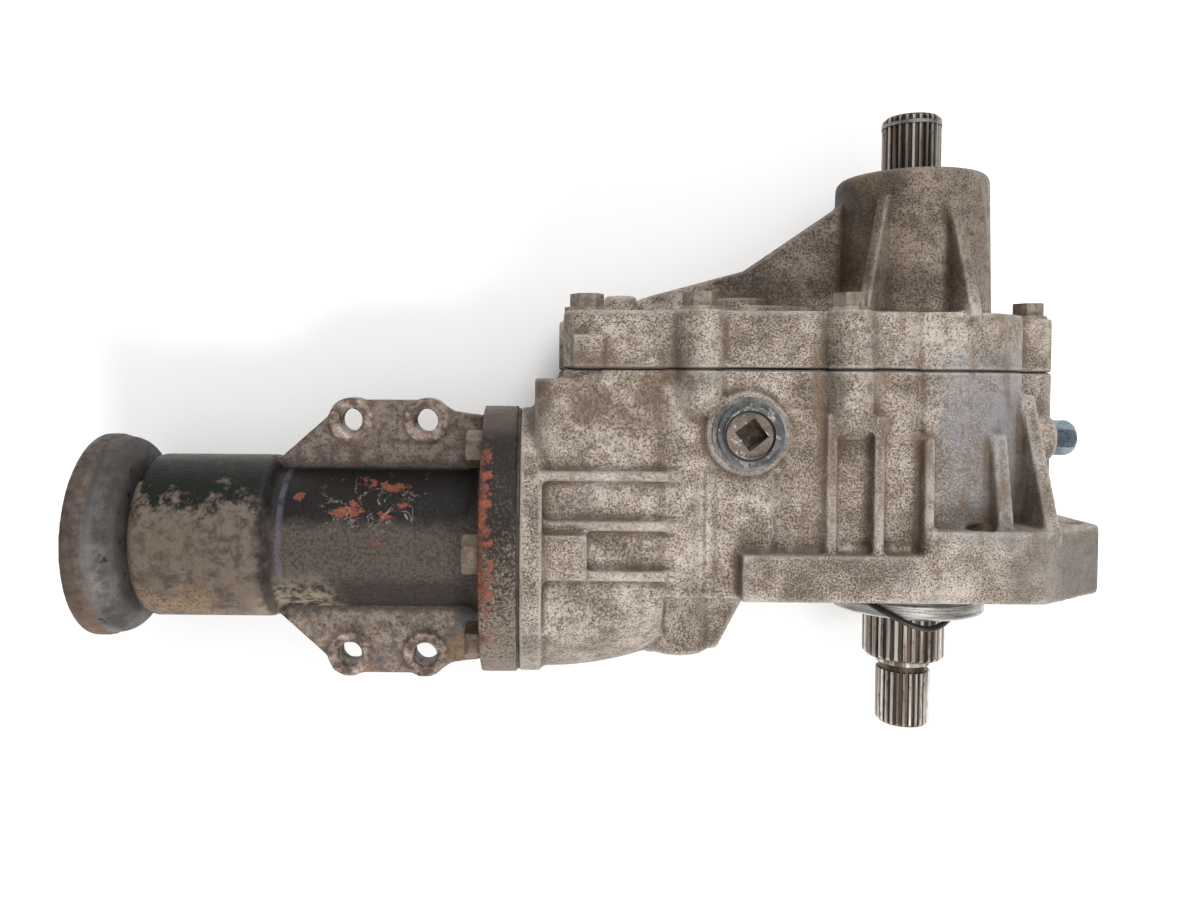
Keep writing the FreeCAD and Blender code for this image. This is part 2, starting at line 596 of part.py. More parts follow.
def cover():
    """Aluminium cover with the tower round the through shaft."""
    wall = CASE_HALF_DEPTH - 1.5
    tower = turned_y([(0, DECK_Y - 2.0), (TOWER_R + TOWER_DRAFT, DECK_Y - 2.0), (TOWER_R, TOWER_TOP_Y),
                      (0, TOWER_TOP_Y)])
    tower = soften(tower, 4.0, lambda p: p.y > TOWER_TOP_Y - 1.0)
    web = prism_z([(-TOWER_R + SEAT_DEPTH, DECK_Y - 2.0), (-TOWER_R + SEAT_DEPTH, TOWER_TOP_Y - WEB_DROP),
                   (-74.0, 135.5), (-118.0, 123.5), (-136.0, DECK_Y + 1.0), (-136.0, DECK_Y - 2.0)], -6.0, 6.0)
    ribs = [tower_rib(*place) for place in TOWER_RIBS]
    bosses = [cyl_y(BOSS_R, JOINT_Y, DECK_Y, x, z) for x, z in COVER_BOLT_PLACES]
    body = fuse_all([
        plan_block(COVER_LEFT_X, -8.0, JOINT_Y, DECK_Y, -wall, wall, CORNER_R),
        cyl_y(ROOM_INPUT_R + WALL, JOINT_Y, DECK_Y),
        box(30.0, EAR_BOLT_X, JOINT_Y, DECK_Y - 4.0, -BOSS_R, BOSS_R),
        box(COVER_LEFT_X + 1.0, -139.0, JOINT_Y, JOINT_Y + COVER_PAD_HEIGHT, 20.0, wall + 2.0),
        turned_y([(0, DECK_Y - 1.0), (COUNTER_BEARING[1] + 2.0, DECK_Y - 1.0), (COUNTER_BEARING[1], DECK_Y + 4.0),
                  (0, DECK_Y + 4.0)], COUNTER_X),
        turned_y([(0, DECK_Y - 1.0), (12.5, DECK_Y - 1.0), (11.5, DECK_Y + 7.5), (0, DECK_Y + 7.5)], -77.0, 8.0),
        turned_y([(0, DECK_Y - 1.0), (8.0, DECK_Y - 1.0), (7.0, DECK_Y + 8.0), (0, DECK_Y + 8.0)], -129.5, 14.0),
        tower,
        web,
    ] + ribs + bosses)
    cuts = [
        gear_room(JOINT_Y - 1.0, UPPER_BEARING_Y),
        cyl_y(INPUT_BEARING[1], UPPER_BEARING_Y - 1.0, UPPER_BEARING_Y + INPUT_BEARING[2]),
        cyl_y(INPUT_BEARING[1] - 5.0, UPPER_BEARING_Y, DECK_Y),
        cyl_y(TOWER_BEARING[1] - 3.0, DECK_Y - 1.0, TOWER_BEARING_Y),
        cyl_y(TOWER_BEARING[1], TOWER_BEARING_Y, TOWER_TOP_Y + 1.0),
        cyl_y(COUNTER_BEARING[1], UPPER_BEARING_Y - 1.0, COUNTER_TOP_Y + COUNTER_BEARING[2], COUNTER_X),
    ]
    for x, z in COVER_BOLT_PLACES:
        cuts.append(cyl_y(COVER_BOLT_R + BOLT_SLACK, JOINT_Y - 1.0, DECK_Y + 1.0, x, z))
    for x, z in DOWEL_PLACES:
        cuts.append(cyl_y(DOWEL_R, JOINT_Y - 1.0, JOINT_Y + DOWEL_LENGTH / 2.0, x, z))
    return body.cut(cuts)


def ear_places():
    """X and Y of the four ear holes, bottom pair first."""
    for side in (-1, 1):
        for x in (EAR_FIRST_X, EAR_FIRST_X - EAR_PITCH_X):
            yield x, PINION_Y + side * EAR_PITCH_Y / 2.0


def ear_plate():
    """Flat plate through the barrel with four holes in bosses."""
    reach = EAR_PITCH_Y / 2.0 + EAR_BOSS_R - 1.0
    left_x = EAR_FIRST_X - EAR_PITCH_X
    upper = [(BARREL_X + 1.0, 0.0), (BARREL_X + 1.0, reach - 7.0), (EAR_FIRST_X + 12.0, reach - 5.0),
             (EAR_FIRST_X + 4.0, reach), (left_x - 3.0, reach), (left_x - 9.0, reach - 6.0),
             (NOSE_X - 2.0, BARREL_R + 1.0), (NOSE_X - 2.0, 0.0)]
    halves = []
    for side in (-1, 1):
        outline = [(x, PINION_Y + side * v) for x, v in upper]
        halves.append(prism_z(outline, -EAR_THICK / 2.0, EAR_THICK / 2.0))
    bosses = [cyl_z(EAR_BOSS_R, -EAR_BOSS_THICK / 2.0, EAR_BOSS_THICK / 2.0, x, y) for x, y in ear_places()]
    return halves + bosses


def pinion_retainer():
    """Cast-iron retainer: flange, barrel, nose, pilot and ear plate."""
    outside = turned_x([
        (0, SPIGOT_END_X), (SPIGOT_R - 1.0, SPIGOT_END_X), (SPIGOT_R, SPIGOT_END_X - 1.0), (SPIGOT_R, FLANGE_X),
        (RETAINER_FLANGE_R, FLANGE_X), (RETAINER_FLANGE_R, BARREL_X), (BARREL_R + 6.0, BARREL_X),
        (BARREL_R, BARREL_X - 6.0), (BARREL_R, NOSE_X + 4.0), (NOSE_R, NOSE_X), (NOSE_R, NOSE_END_X),
        (0, NOSE_END_X),
    ])
    outside = soften(outside, 6.0, lambda p: abs(p.x - NOSE_END_X) < 0.01)
    body = fuse_all([outside] + ear_plate())
    cuts = [
        cyl_x(HEAD_BEARING[1], HEAD_BEARING_X, SPIGOT_END_X + 1.0),
        cyl_x(HEAD_BEARING[0] + 7.0, TAIL_BEARING_X, SPIGOT_END_X),
        cyl_x(TAIL_BEARING[1], NOSE_END_X - 1.0, TAIL_BEARING_X + TAIL_BEARING[2]),
    ]
    for x, y in ear_places():
        cuts.append(cyl_z(EAR_HOLE_R, -EAR_BOSS_THICK, EAR_BOSS_THICK, x, y))
    for y, z in retainer_bolt_places():
        cuts.append(cyl_x(RETAINER_BOLT_R + BOLT_SLACK, BARREL_X - 0.5, FLANGE_X + 1.0, y, z))
        cuts.append(cyl_x(RETAINER_BOLT_FLATS * 0.66, BARREL_X - 16.0, BARREL_X, y, z))
    return body.cut(cuts)


def retainer_shim():
    """Thin shim between the case and the retainer's flange."""
    plate = cyl_x(RETAINER_FLANGE_R - 1.0, FLANGE_X, SEAT_X)
    shim = plate.cut(cyl_x(SPIGOT_R + 0.3, FLANGE_X - 1.0, SEAT_X + 1.0))
    holes = [cyl_x(RETAINER_BOLT_R + BOLT_SLACK, FLANGE_X - 1.0, SEAT_X + 1.0, y, z)
             for y, z in retainer_bolt_places()]
    return shim.cut(holes)


# Turning parts
def through_shaft():
    """Shaft right through the unit, splined at both ends."""
    low_end = -LOWER_SPLINE_REACH
    low_top = low_end + THROUGH_LOW_SPLINE
    groove_y = SHAFT_TOP_Y - SNAP_GROOVE_DROP
    seat = TOWER_BEARING[0]
    core = turned_y([
        (0, low_top), (THROUGH_LOW_TIP_R - THROUGH_SPLINE_DEPTH, low_top),
        (THROUGH_LOW_TIP_R - THROUGH_SPLINE_DEPTH, low_top + 2.5), (THROUGH_R, low_top + 3.0),
        (THROUGH_R, TOWER_BEARING_Y - 8.0), (seat + 2.0, TOWER_BEARING_Y - 4.0), (seat + 2.0, TOWER_BEARING_Y),
        (seat, TOWER_BEARING_Y), (seat, TOWER_TOP_Y - 1.0), (THROUGH_TOP_TIP_R, TOWER_TOP_Y), (0, TOWER_TOP_Y),
    ])
    low = spline_y(THROUGH_LOW_TIP_R - THROUGH_SPLINE_DEPTH, THROUGH_LOW_TIP_R, THROUGH_TEETH, low_end, low_top,
                   True, False)
    top = spline_y(THROUGH_TOP_TIP_R - THROUGH_SPLINE_DEPTH, THROUGH_TOP_TIP_R, THROUGH_TEETH, TOWER_TOP_Y,
                   SHAFT_TOP_Y, False, True)
    groove = cyl_y(20.0, groove_y - 0.9, groove_y + 0.9).cut(
        cyl_y(THROUGH_TOP_TIP_R - THROUGH_SPLINE_DEPTH - 0.3, groove_y - 1.0, groove_y + 1.0))
    return core.fuse([low, top]).cut(groove)


def snap_ring():
    """Open wire ring in the upper spline's groove."""
    groove_y = SHAFT_TOP_Y - SNAP_GROOVE_DROP
    inner = THROUGH_TOP_TIP_R - THROUGH_SPLINE_DEPTH - 0.2
    ring = cyl_y(THROUGH_TOP_TIP_R + 0.3, groove_y - 0.7, groove_y + 0.7).cut(
        cyl_y(inner, groove_y - 1.0, groove_y + 1.0))
    gap = around_y(box(0.0, 20.0, groove_y - 1.0, groove_y + 1.0, -1.2, 1.2), 60.0)
    return ring.cut(gap)


def input_shaft():
    """Hollow input shaft with an outside spline for the differential carrier."""
    low_end = -SLEEVE_REACH
    low_top = low_end + SLEEVE_SPLINE
    seat = INPUT_BEARING[0]
    top = UPPER_BEARING_Y + INPUT_BEARING[2] + 4.0
    core = turned_y([
        (0, low_top), (seat, low_top), (seat, LOWER_BEARING_Y + INPUT_BEARING[2]),
        (seat + 4.0, LOWER_BEARING_Y + INPUT_BEARING[2]), (seat + 4.0, ROOM_FLOOR_Y + 1.0),
        (seat - 1.0, ROOM_FLOOR_Y + 3.0), (seat - 1.0, GEAR_Y - 6.0), (seat + 2.0, GEAR_Y - 3.0),
        (seat + 2.0, GEAR_TOP_Y), (seat + 6.0, GEAR_TOP_Y), (seat + 6.0, GEAR_TOP_Y + 4.0),
        (seat + 3.0, UPPER_BEARING_Y), (seat, UPPER_BEARING_Y), (seat, top), (0, top),
    ])
    spline = spline_y(SLEEVE_TIP_R - SLEEVE_SPLINE_DEPTH, SLEEVE_TIP_R, SLEEVE_TEETH, low_end, low_top, True, False)
    return core.fuse(spline).cut(cyl_y(SLEEVE_BORE_R, low_end - 1.0, top + 1.0))


def through_bush():
    """Plain bush between the hollow shaft and the through shaft."""
    low = -SLEEVE_REACH + 2.0
    return cyl_y(SLEEVE_BORE_R, low, low + 15.0).cut(cyl_y(THROUGH_R + RUN_FIT, low - 1.0, low + 16.0))


def countershaft():
    """Shaft that carries the counter gear and the ring gear."""
    seat = COUNTER_BEARING[0]
    low = COUNTER_LOW_Y
    return turned_y([
        (0, low), (seat, low), (seat, low + COUNTER_BEARING[2]), (seat + 3.0, low + COUNTER_BEARING[2]),
        (seat + 3.0, ROOM_FLOOR_Y + 4.0), (seat + 9.5, RING_BACK_Y - 12.0), (seat + 9.5, RING_BACK_Y),
        (seat + 14.0, RING_BACK_Y), (seat + 14.0, GEAR_Y), (seat + 5.5, GEAR_Y), (seat + 5.5, GEAR_TOP_Y + 6.0),
        (seat + 3.0, COUNTER_TOP_Y - 1.0), (seat + 3.0, COUNTER_TOP_Y), (seat, COUNTER_TOP_Y),
        (seat, COUNTER_TOP_Y + COUNTER_BEARING[2]), (0, COUNTER_TOP_Y + COUNTER_BEARING[2]),
    ], COUNTER_X)


def ring_gear():
    """Bevel ring gear on the countershaft, teeth facing the pinion."""
    (big_r, big_h), (small_r, small_h) = bevel_root(RING_PITCH_R, PINION_PITCH_R)
    bore_r = COUNTER_BEARING[0] + 9.5
    back = RING_BACK_Y - PINION_Y
    points = [V(bore_r, 0, small_h + 6.0), V(small_r - 2.0, 0, small_h), V(small_r, 0, small_h),
              V(big_r, 0, big_h), V(big_r + 1.5, 0, big_h + 3.0), V(big_r + 1.5, 0, back), V(bore_r, 0, back)]
    blank = Part.Face(Part.makePolygon(points + points[:1])).revolve(V(0, 0, 0), V(0, 0, 1), 360)
    gear = blank.fuse(bevel_teeth(RING_PITCH_R, PINION_PITCH_R, RING_TEETH))
    gear.Placement = FreeCAD.Placement(V(COUNTER_X, PINION_Y, 0), FreeCAD.Rotation(V(0, 0, 1), V(0, 1, 0)))
    return gear


def pinion_shaft():
    """Bevel pinion and its long shaft."""
    (big_r, big_h), (small_r, small_h) = bevel_root(PINION_PITCH_R, RING_PITCH_R)
    points = [V(0, 0, small_h), V(small_r, 0, small_h), V(big_r, 0, big_h), V(big_r, 0, big_h + 4.0),
              V(0, 0, big_h + 4.0)]
    head = Part.Face(Part.makePolygon(points + points[:1])).revolve(V(0, 0, 0), V(0, 0, 1), 360)
    head = head.fuse(bevel_teeth(PINION_PITCH_R, RING_PITCH_R, PINION_TEETH))
    # The local tooth on +X turns to +Y, where the ring gear is.
    head.rotate(V(0, 0, 0), V(0, 0, 1), 90.0)
    head.Placement = FreeCAD.Placement(V(COUNTER_X, PINION_Y, 0), FreeCAD.Rotation(V(0, 0, 1), V(-1, 0, 0))).multiply(
        head.Placement)
    collar_x = COUNTER_X - big_h - 3.0
    shaft = turned_x([
        (0, collar_x), (big_r, collar_x), (big_r, SPIGOT_END_X), (HEAD_BEARING[0], SPIGOT_END_X),
        (HEAD_BEARING[0], HEAD_BEARING_X), (HEAD_BEARING[0] + 1.5, HEAD_BEARING_X),
        (HEAD_BEARING[0] + 1.5, TAIL_BEARING_X + TAIL_BEARING[2]),
        (TAIL_BEARING[0], TAIL_BEARING_X + TAIL_BEARING[2]),
        (TAIL_BEARING[0], TAIL_BEARING_X), (TAIL_BEARING[0] - 1.0, TAIL_BEARING_X),
        (TAIL_BEARING[0] - 1.0, RIM_X), (TAIL_BEARING[0] - 3.5, RIM_X), (TAIL_BEARING[0] - 3.5, RIM_END_X + 1.0),
        (0, RIM_END_X + 1.0),
    ])
    return shaft.fuse(head)


def companion_flange():
    """Output flange on the pinion, with a rounded lip that hides the nose's seal."""
    bore_r = TAIL_BEARING[0] - 1.0
    lip = COMPANION_LIP_LENGTH
    start = V(RIM_X + 1.5, PINION_Y + COMPANION_R - 1.2, 0)
    middle = V(RIM_X + lip * 0.72, PINION_Y + COMPANION_R - 3.6, 0)
    end = V(LIP_X, PINION_Y + COMPANION_R - 9.5, 0)
    corners = [
        end, V(LIP_X, PINION_Y + COMPANION_HUB_R + 2.0, 0), V(NOSE_END_X - 1.0, PINION_Y + COMPANION_HUB_R, 0),
        V(TAIL_BEARING_X, PINION_Y + COMPANION_HUB_R, 0), V(TAIL_BEARING_X, PINION_Y + bore_r, 0),
        V(RIM_X, PINION_Y + bore_r, 0), V(RIM_X, PINION_Y + COMPANION_PILOT_R, 0),
        V(RIM_END_X, PINION_Y + COMPANION_PILOT_R, 0), V(RIM_END_X, PINION_Y + COMPANION_R - 1.5, 0),
        V(RIM_END_X + 1.5, PINION_Y + COMPANION_R, 0), V(RIM_X - 1.0, PINION_Y + COMPANION_R, 0),
        V(RIM_X, PINION_Y + COMPANION_R - 1.2 - RIM_GROOVE, 0), start,
    ]
    edges = [Part.LineSegment(a, b).toShape() for a, b in zip(corners[:-1], corners[1:])]
    edges.append(Part.Arc(start, middle, end).toShape())
    flange = Part.Face(Part.Wire(edges)).revolve(V(0, PINION_Y, 0), V(1, 0, 0), 360)
    hole = cyl_x(COMPANION_HOLE_R, RIM_END_X - 1.0, LIP_X + 1.0, PINION_Y + COMPANION_PCD / 2.0)
    holes = [around_pinion(hole, 45.0 + 360.0 * i / COMPANION_HOLES) for i in range(COMPANION_HOLES)]
    return flange.cut(holes)


def pinion_nut():
    """Flanged nut that holds the companion flange."""
    inner = TAIL_BEARING[0] - 3.5
    corners = [(PINION_Y + u, v) for u, v in hexagon(30.0)]
    nut = prism_x(corners, RIM_X - 7.0, RIM_X - 2.0).fuse(cyl_x(19.0, RIM_X - 2.0, RIM_X))
    return nut.cut(cyl_x(inner, RIM_X - 8.0, RIM_X + 1.0))


# Bearings and seals
def rings(bearing):
    """Radii of a bearing: bore, inner ring, outer ring, outside."""
    bore, outside, width = bearing
    section = (outside - bore) * RACE_SHARE
    return bore, bore + section, outside - section, outside


def ball_bearing_y(bearing, y, x=0.0):
    """Inner and outer ring of a sealed ball bearing along Y; the seals are part of the outer ring."""
    bore, inner, outer, outside = rings(bearing)
    width = bearing[2]
    small = cyl_y(inner, y, y + width, x).cut(cyl_y(bore, y - 1.0, y + width + 1.0, x))
    lip = inner + FREE_GAP
    large = turned_y([
        (lip, y + 0.5), (outer, y + 0.5), (outer, y), (outside, y), (outside, y + width), (outer, y + width),
        (outer, y + width - 0.5), (lip, y + width - 0.5), (lip, y + width - 1.5), (outer, y + width - 1.5),
        (outer, y + 1.5), (lip, y + 1.5),
    ], x)
    return small, large


def roller_bearing_x(bearing, x, wide_at_high):
    """Cone with its rollers, and cup, of a tapered roller bearing along X."""
    bore, inner, outer, outside = rings(bearing)
    width = bearing[2]
    slope = 2.5
    lean = slope if wide_at_high else -slope
    low, high = (inner - lean / 2.0, inner + lean / 2.0)
    gap = outer - inner
    cone = turned_x([(bore, x), (low, x), (high, x + width), (bore, x + width)])
    cup = turned_x([(outside, x), (low + gap, x), (high + gap, x + width), (outside, x + width)])
    roller_r = gap / 2.0 - FREE_GAP / 2.0
    tilt = math.degrees(math.atan2(lean, width))
    roller = Part.makeCylinder(roller_r, width - 4.0, V(x + 2.0, 0, 0), V(1, 0, 0), 360)
    roller.rotate(V(x + width / 2.0, 0, 0), V(0, 0, 1), tilt)
    roller.translate(V(0, PINION_Y + inner + roller_r + 0.1, 0))
    rollers = [around_pinion(roller, 360.0 * i / ROLLERS) for i in range(ROLLERS)]
    return Part.makeCompound([cone] + rollers), cup


def seal_y(inner_r, outer_r, y, inward):
    """Lip seal along Y."""
    lip = inner_r + RUN_FIT
    face, back = (y, y + SEAL_WIDTH) if inward > 0 else (y + SEAL_WIDTH, y)
    step = 3.0 if inward > 0 else -3.0
    return turned_y([(lip, face), (outer_r, face), (outer_r, back), (outer_r - 2.5, back),
                     (outer_r - 2.5, face + step), (lip + 3.0, face + step), (lip, face + step)])


def pinion_seal():
    """Lip seal in the retainer's nose."""
    x0 = NOSE_END_X + 1.0
    lip = COMPANION_HUB_R + RUN_FIT
    outer = TAIL_BEARING[1]
    return turned_x([(lip, x0), (outer, x0), (outer, x0 + SEAL_WIDTH), (outer - 2.5, x0 + SEAL_WIDTH),
                     (outer - 2.5, x0 + 3.0), (lip, x0 + 3.0)])


def seal_carrier():
    """Bright machined spigot that centres the unit on the transaxle."""
    low = -CARRIER_LENGTH
    seal_r = INPUT_BEARING[0] + 8.0
    groove_low = -CARRIER_GROOVE[1]
    groove_high = -CARRIER_GROOVE[0]
    return turned_y([
        (seal_r, low), (CARRIER_R - 1.0, low), (CARRIER_R, low + 1.0), (CARRIER_R, groove_low),
        (CARRIER_GROOVE_R, groove_low), (CARRIER_GROOVE_R, groove_high), (CARRIER_R, groove_high),
        (CARRIER_R, CARRIER_SINK),
        (CARRIER_PILOT_R, CARRIER_SINK), (CARRIER_PILOT_R, LOWER_BEARING_Y), (seal_r - 3.0, LOWER_BEARING_Y),
        (seal_r - 3.0, low + SEAL_WIDTH + 1.0), (seal_r, low + SEAL_WIDTH + 1.0),
    ])


def o_ring():
    """O-ring seated in the spigot's groove."""
    wire_r = O_RING_WIRE / 2.0
    middle_y = -(CARRIER_GROOVE[0] + CARRIER_GROOVE[1]) / 2.0
    return Part.makeTorus(CARRIER_GROOVE_R + wire_r, wire_r, V(0, middle_y, 0), V(0, 1, 0))


# Plugs
def filler_plug():
    """Filler plug with a square socket in its cup."""
    seat = PLUG_FACE_Z + PLUG_WASHER_THICK
    top = seat + PLUG_FLANGE_THICK
    body = fuse_all([
        cyl_z(PLUG_R - 0.1, seat - 14.0, seat, PLUG_X, PLUG_Y),
        cyl_z(PLUG_FLANGE_R, seat, top, PLUG_X, PLUG_Y),
        cyl_z(PLUG_CUP_R, top, top + PLUG_CUP_HEIGHT - 3.0, PLUG_X, PLUG_Y),
    ])
    half = PLUG_SQUARE / 2.0
    socket = box(-half, half, -half, half, seat - 6.0, top + PLUG_CUP_HEIGHT)
    socket.rotate(V(0, 0, 0), V(0, 0, 1), 38.0)
    socket.translate(V(PLUG_X, PLUG_Y, 0))
    dish = cyl_z(PLUG_CUP_R - 2.0, top + 1.0, top + PLUG_CUP_HEIGHT, PLUG_X, PLUG_Y)
    return body.cut([socket, dish])


def plug_washer():
    """Sealing washer under the filler plug."""
    seat = PLUG_FACE_Z
    return cyl_z(PLUG_WASHER_R, seat, seat + PLUG_WASHER_THICK, PLUG_X, PLUG_Y).cut(
        cyl_z(PLUG_R + 0.2, seat - 1.0, seat + 5.0, PLUG_X, PLUG_Y))


def drain_plug():
    """Long hexagon plug in the side of the case."""
    corners = [(DRAIN_Y + u, DRAIN_Z + v) for u, v in hexagon(DRAIN_FLATS)]
    end = DRAIN_FACE_X + DRAIN_HEAD
    crown = turned_x([(0, end), (DRAIN_FLATS * 0.48, end), (DRAIN_FLATS * 0.6, end - 2.0),
                      (DRAIN_FLATS * 0.6, DRAIN_FACE_X), (0, DRAIN_FACE_X)], DRAIN_Y, DRAIN_Z)
    head = prism_x(corners, DRAIN_FACE_X, end).common(crown)
    return head.fuse(cyl_x(DRAIN_R - THREAD_SLACK, DRAIN_FACE_X - 12.0, DRAIN_FACE_X, DRAIN_Y, DRAIN_Z))


def dowels():
    """Two hollow dowels that line up the cover."""
    half = DOWEL_LENGTH / 2.0 - 0.5
    return Part.makeCompound([
        cyl_y(DOWEL_R - 0.02, JOINT_Y - half, JOINT_Y + half, x, z).cut(
            cyl_y(DOWEL_R - 1.5, JOINT_Y - half - 1.0, JOINT_Y + half + 1.0, x, z))
        for x, z in DOWEL_PLACES])


def build():
    """Every sub-part by its node name."""
    input_low = ball_bearing_y(INPUT_BEARING, LOWER_BEARING_Y)
    input_high = ball_bearing_y(INPUT_BEARING, UPPER_BEARING_Y)
    tower = ball_bearing_y(TOWER_BEARING, TOWER_BEARING_Y)
    counter_low = ball_bearing_y(COUNTER_BEARING, COUNTER_LOW_Y, COUNTER_X)
    counter_high = ball_bearing_y(COUNTER_BEARING, COUNTER_TOP_Y, COUNTER_X)
    head = roller_bearing_x(HEAD_BEARING, HEAD_BEARING_X, True)
    tail = roller_bearing_x(TAIL_BEARING, TAIL_BEARING_X, False)
    shank = RETAINER_FLANGE_THICK + SHIM_THICK + 18.0
    return {
        "main_case": main_case(),
        "cover": cover(),
        "pinion_retainer": pinion_retainer(),
        "retainer_shim": retainer_shim(),
        "retainer_bolts": Part.makeCompound([
            hex_bolt_x(BARREL_X, y, z, RETAINER_BOLT_R, shank, RETAINER_BOLT_FLATS, RETAINER_BOLT_HEAD)
            for y, z in retainer_bolt_places()]),
        "cover_bolts": Part.makeCompound([cover_bolt(x, z) for x, z in COVER_BOLT_PLACES]),
        "cover_dowels": dowels(),
        "filler_plug": filler_plug(),
        "filler_plug_washer": plug_washer(),
        "drain_plug": drain_plug(),
        "seal_carrier": seal_carrier(),
        "spigot_o_ring": o_ring(),
        "input_oil_seal": seal_y(INPUT_BEARING[0], INPUT_BEARING[0] + 8.0, -CARRIER_LENGTH + 1.0, 1),
        "tower_oil_seal": seal_y(TOWER_BEARING[0], TOWER_BEARING[1], TOWER_TOP_Y - SEAL_WIDTH - 1.0, -1),
        "pinion_oil_seal": pinion_seal(),
        "input_shaft": input_shaft(),
        "input_gear": spur_gear(INPUT_TEETH, GEAR_Y, GEAR_TOP_Y, INPUT_BEARING[0] + 2.0),
        "through_bush": through_bush(),
        "input_lower_bearing_inner": input_low[0],
        "input_lower_bearing_outer": input_low[1],
        "input_upper_bearing_inner": input_high[0],
        "input_upper_bearing_outer": input_high[1],
        "through_shaft": through_shaft(),
        "through_snap_ring": snap_ring(),
        "tower_bearing_inner": tower[0],
        "tower_bearing_outer": tower[1],
        "countershaft": countershaft(),
        "counter_gear": spur_gear(COUNTER_TEETH, GEAR_Y, GEAR_TOP_Y, COUNTER_BEARING[0] + 5.5, COUNTER_X),
        "ring_gear": ring_gear(),
        "counter_lower_bearing_inner": counter_low[0],
        "counter_lower_bearing_outer": counter_low[1],
        "counter_upper_bearing_inner": counter_high[0],
        "counter_upper_bearing_outer": counter_high[1],
        "pinion_shaft": pinion_shaft(),
        "pinion_head_bearing_cone": head[0],
        "pinion_head_bearing_cup": head[1],
        "pinion_tail_bearing_cone": tail[0],
        "pinion_tail_bearing_cup": tail[1],
        "companion_flange": companion_flange(),
        "pinion_nut": pinion_nut(),
    }


os.makedirs("parts", exist_ok=True)
for name, shape in build().items():
    shape.exportStep("parts/" + name + ".step")
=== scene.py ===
import math

import bmesh
import bpy
from bpy.props import FloatProperty, FloatVectorProperty, IntProperty, PointerProperty
from mathutils import Matrix, Vector


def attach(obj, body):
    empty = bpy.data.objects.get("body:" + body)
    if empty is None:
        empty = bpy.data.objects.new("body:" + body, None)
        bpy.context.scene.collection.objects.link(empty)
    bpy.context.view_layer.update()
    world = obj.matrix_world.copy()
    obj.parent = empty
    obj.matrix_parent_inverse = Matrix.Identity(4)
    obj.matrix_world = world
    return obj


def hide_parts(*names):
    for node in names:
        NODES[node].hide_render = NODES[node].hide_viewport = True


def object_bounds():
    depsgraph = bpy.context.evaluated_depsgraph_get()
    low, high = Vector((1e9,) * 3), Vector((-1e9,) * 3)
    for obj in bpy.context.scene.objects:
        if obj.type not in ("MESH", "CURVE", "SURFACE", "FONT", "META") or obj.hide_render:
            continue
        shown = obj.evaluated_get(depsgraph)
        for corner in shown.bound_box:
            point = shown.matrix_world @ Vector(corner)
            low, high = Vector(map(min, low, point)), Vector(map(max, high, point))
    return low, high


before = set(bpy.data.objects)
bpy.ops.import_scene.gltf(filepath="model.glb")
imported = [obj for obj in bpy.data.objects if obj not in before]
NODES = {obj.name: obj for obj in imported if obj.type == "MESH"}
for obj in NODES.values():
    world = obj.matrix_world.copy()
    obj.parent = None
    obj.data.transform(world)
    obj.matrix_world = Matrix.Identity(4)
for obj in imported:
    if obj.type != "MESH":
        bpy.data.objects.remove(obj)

bl_info = {
    "name": "Transfer case",
    "version": (1, 0, 0),
    "blender": (4, 5, 0),
    "location": "View3D > Sidebar > Transfer case",
    "description": "Dresses a transfer case: cast housings, worn paint, splined shafts and a plain studio",
    "category": "Object",
}

# The through shaft is the Y axis, the pinion line lies along X at PINION_Y, and Z is up.
CAD_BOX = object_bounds()
MM = 0.001
PINION_Y = 16.5 * MM
BARREL_START_X = -188.0 * MM
BARREL_END_X = -281.0 * MM
RIM_X = -351.0 * MM
JOINT_Y = 91.5 * MM
BLOCK_EDGE_X = -98.0 * MM
RUST_MIDDLE_Y = 28.0 * MM
EAR_MIDDLE_X = -230.75 * MM
EAR_HALF_X = 16.75 * MM
EAR_HALF_Y = 52.0 * MM
FLOOR_Z = CAD_BOX[0][2]
STUDIO_SHARE = 0.72
# Rusted chips in the barrel's paint: (x, y, half height) in millimetres, and width over height
CHIPS = (
    (-244.5, 30.5, 2.4, 2.2), (-228.5, 29.0, 2.5, 1.2), (-231.5, 18.5, 1.1, 1.0), (-267.0, 36.0, 0.8, 1.4),
    (-239.5, 41.5, 0.4, 6.0), (-227.0, 40.5, 0.5, 5.0), (-221.0, 33.0, 0.3, 1.6),
)
CHIP_EDGE = 0.3
# Filler plug: middle and the edge of its cup in millimetres, seen from the front
PLUG_MIDDLE = (-82.4, 65.5)
PLUG_CUP_R = 9.2
# Back of the output flange, whole where its bolts don't come through: (x, radius) in millimetres
LIP_PROFILE = ((-351.0, 24.0), (-351.0, 43.2), (-349.5, 43.7), (-347.5, 43.5), (-345.7, 42.9), (-343.9, 42.0),
               (-342.5, 40.7), (-341.3, 39.1), (-340.4, 37.3), (-340.0, 35.4), (-340.0, 24.0))
# Slipped part of the O-ring: (degrees about Y, radius, y) in millimetres
SLIPPED_RUN = (
    (262, 32.4, -5.8), (270, 34.1, -8.6), (278, 34.0, -12.0), (287, 30.5, -14.4), (300, 26.0, -14.2),
    (322, 22.8, -13.4), (350, 21.5, -13.0), (18, 21.5, -13.0), (44, 22.3, -13.1), (64, 24.6, -13.8),
    (78, 27.6, -15.2), (91, 30.6, -16.0), (103, 33.0, -14.6), (115, 34.2, -11.6), (128, 34.1, -8.4),
    (140, 32.9, -5.9),
)
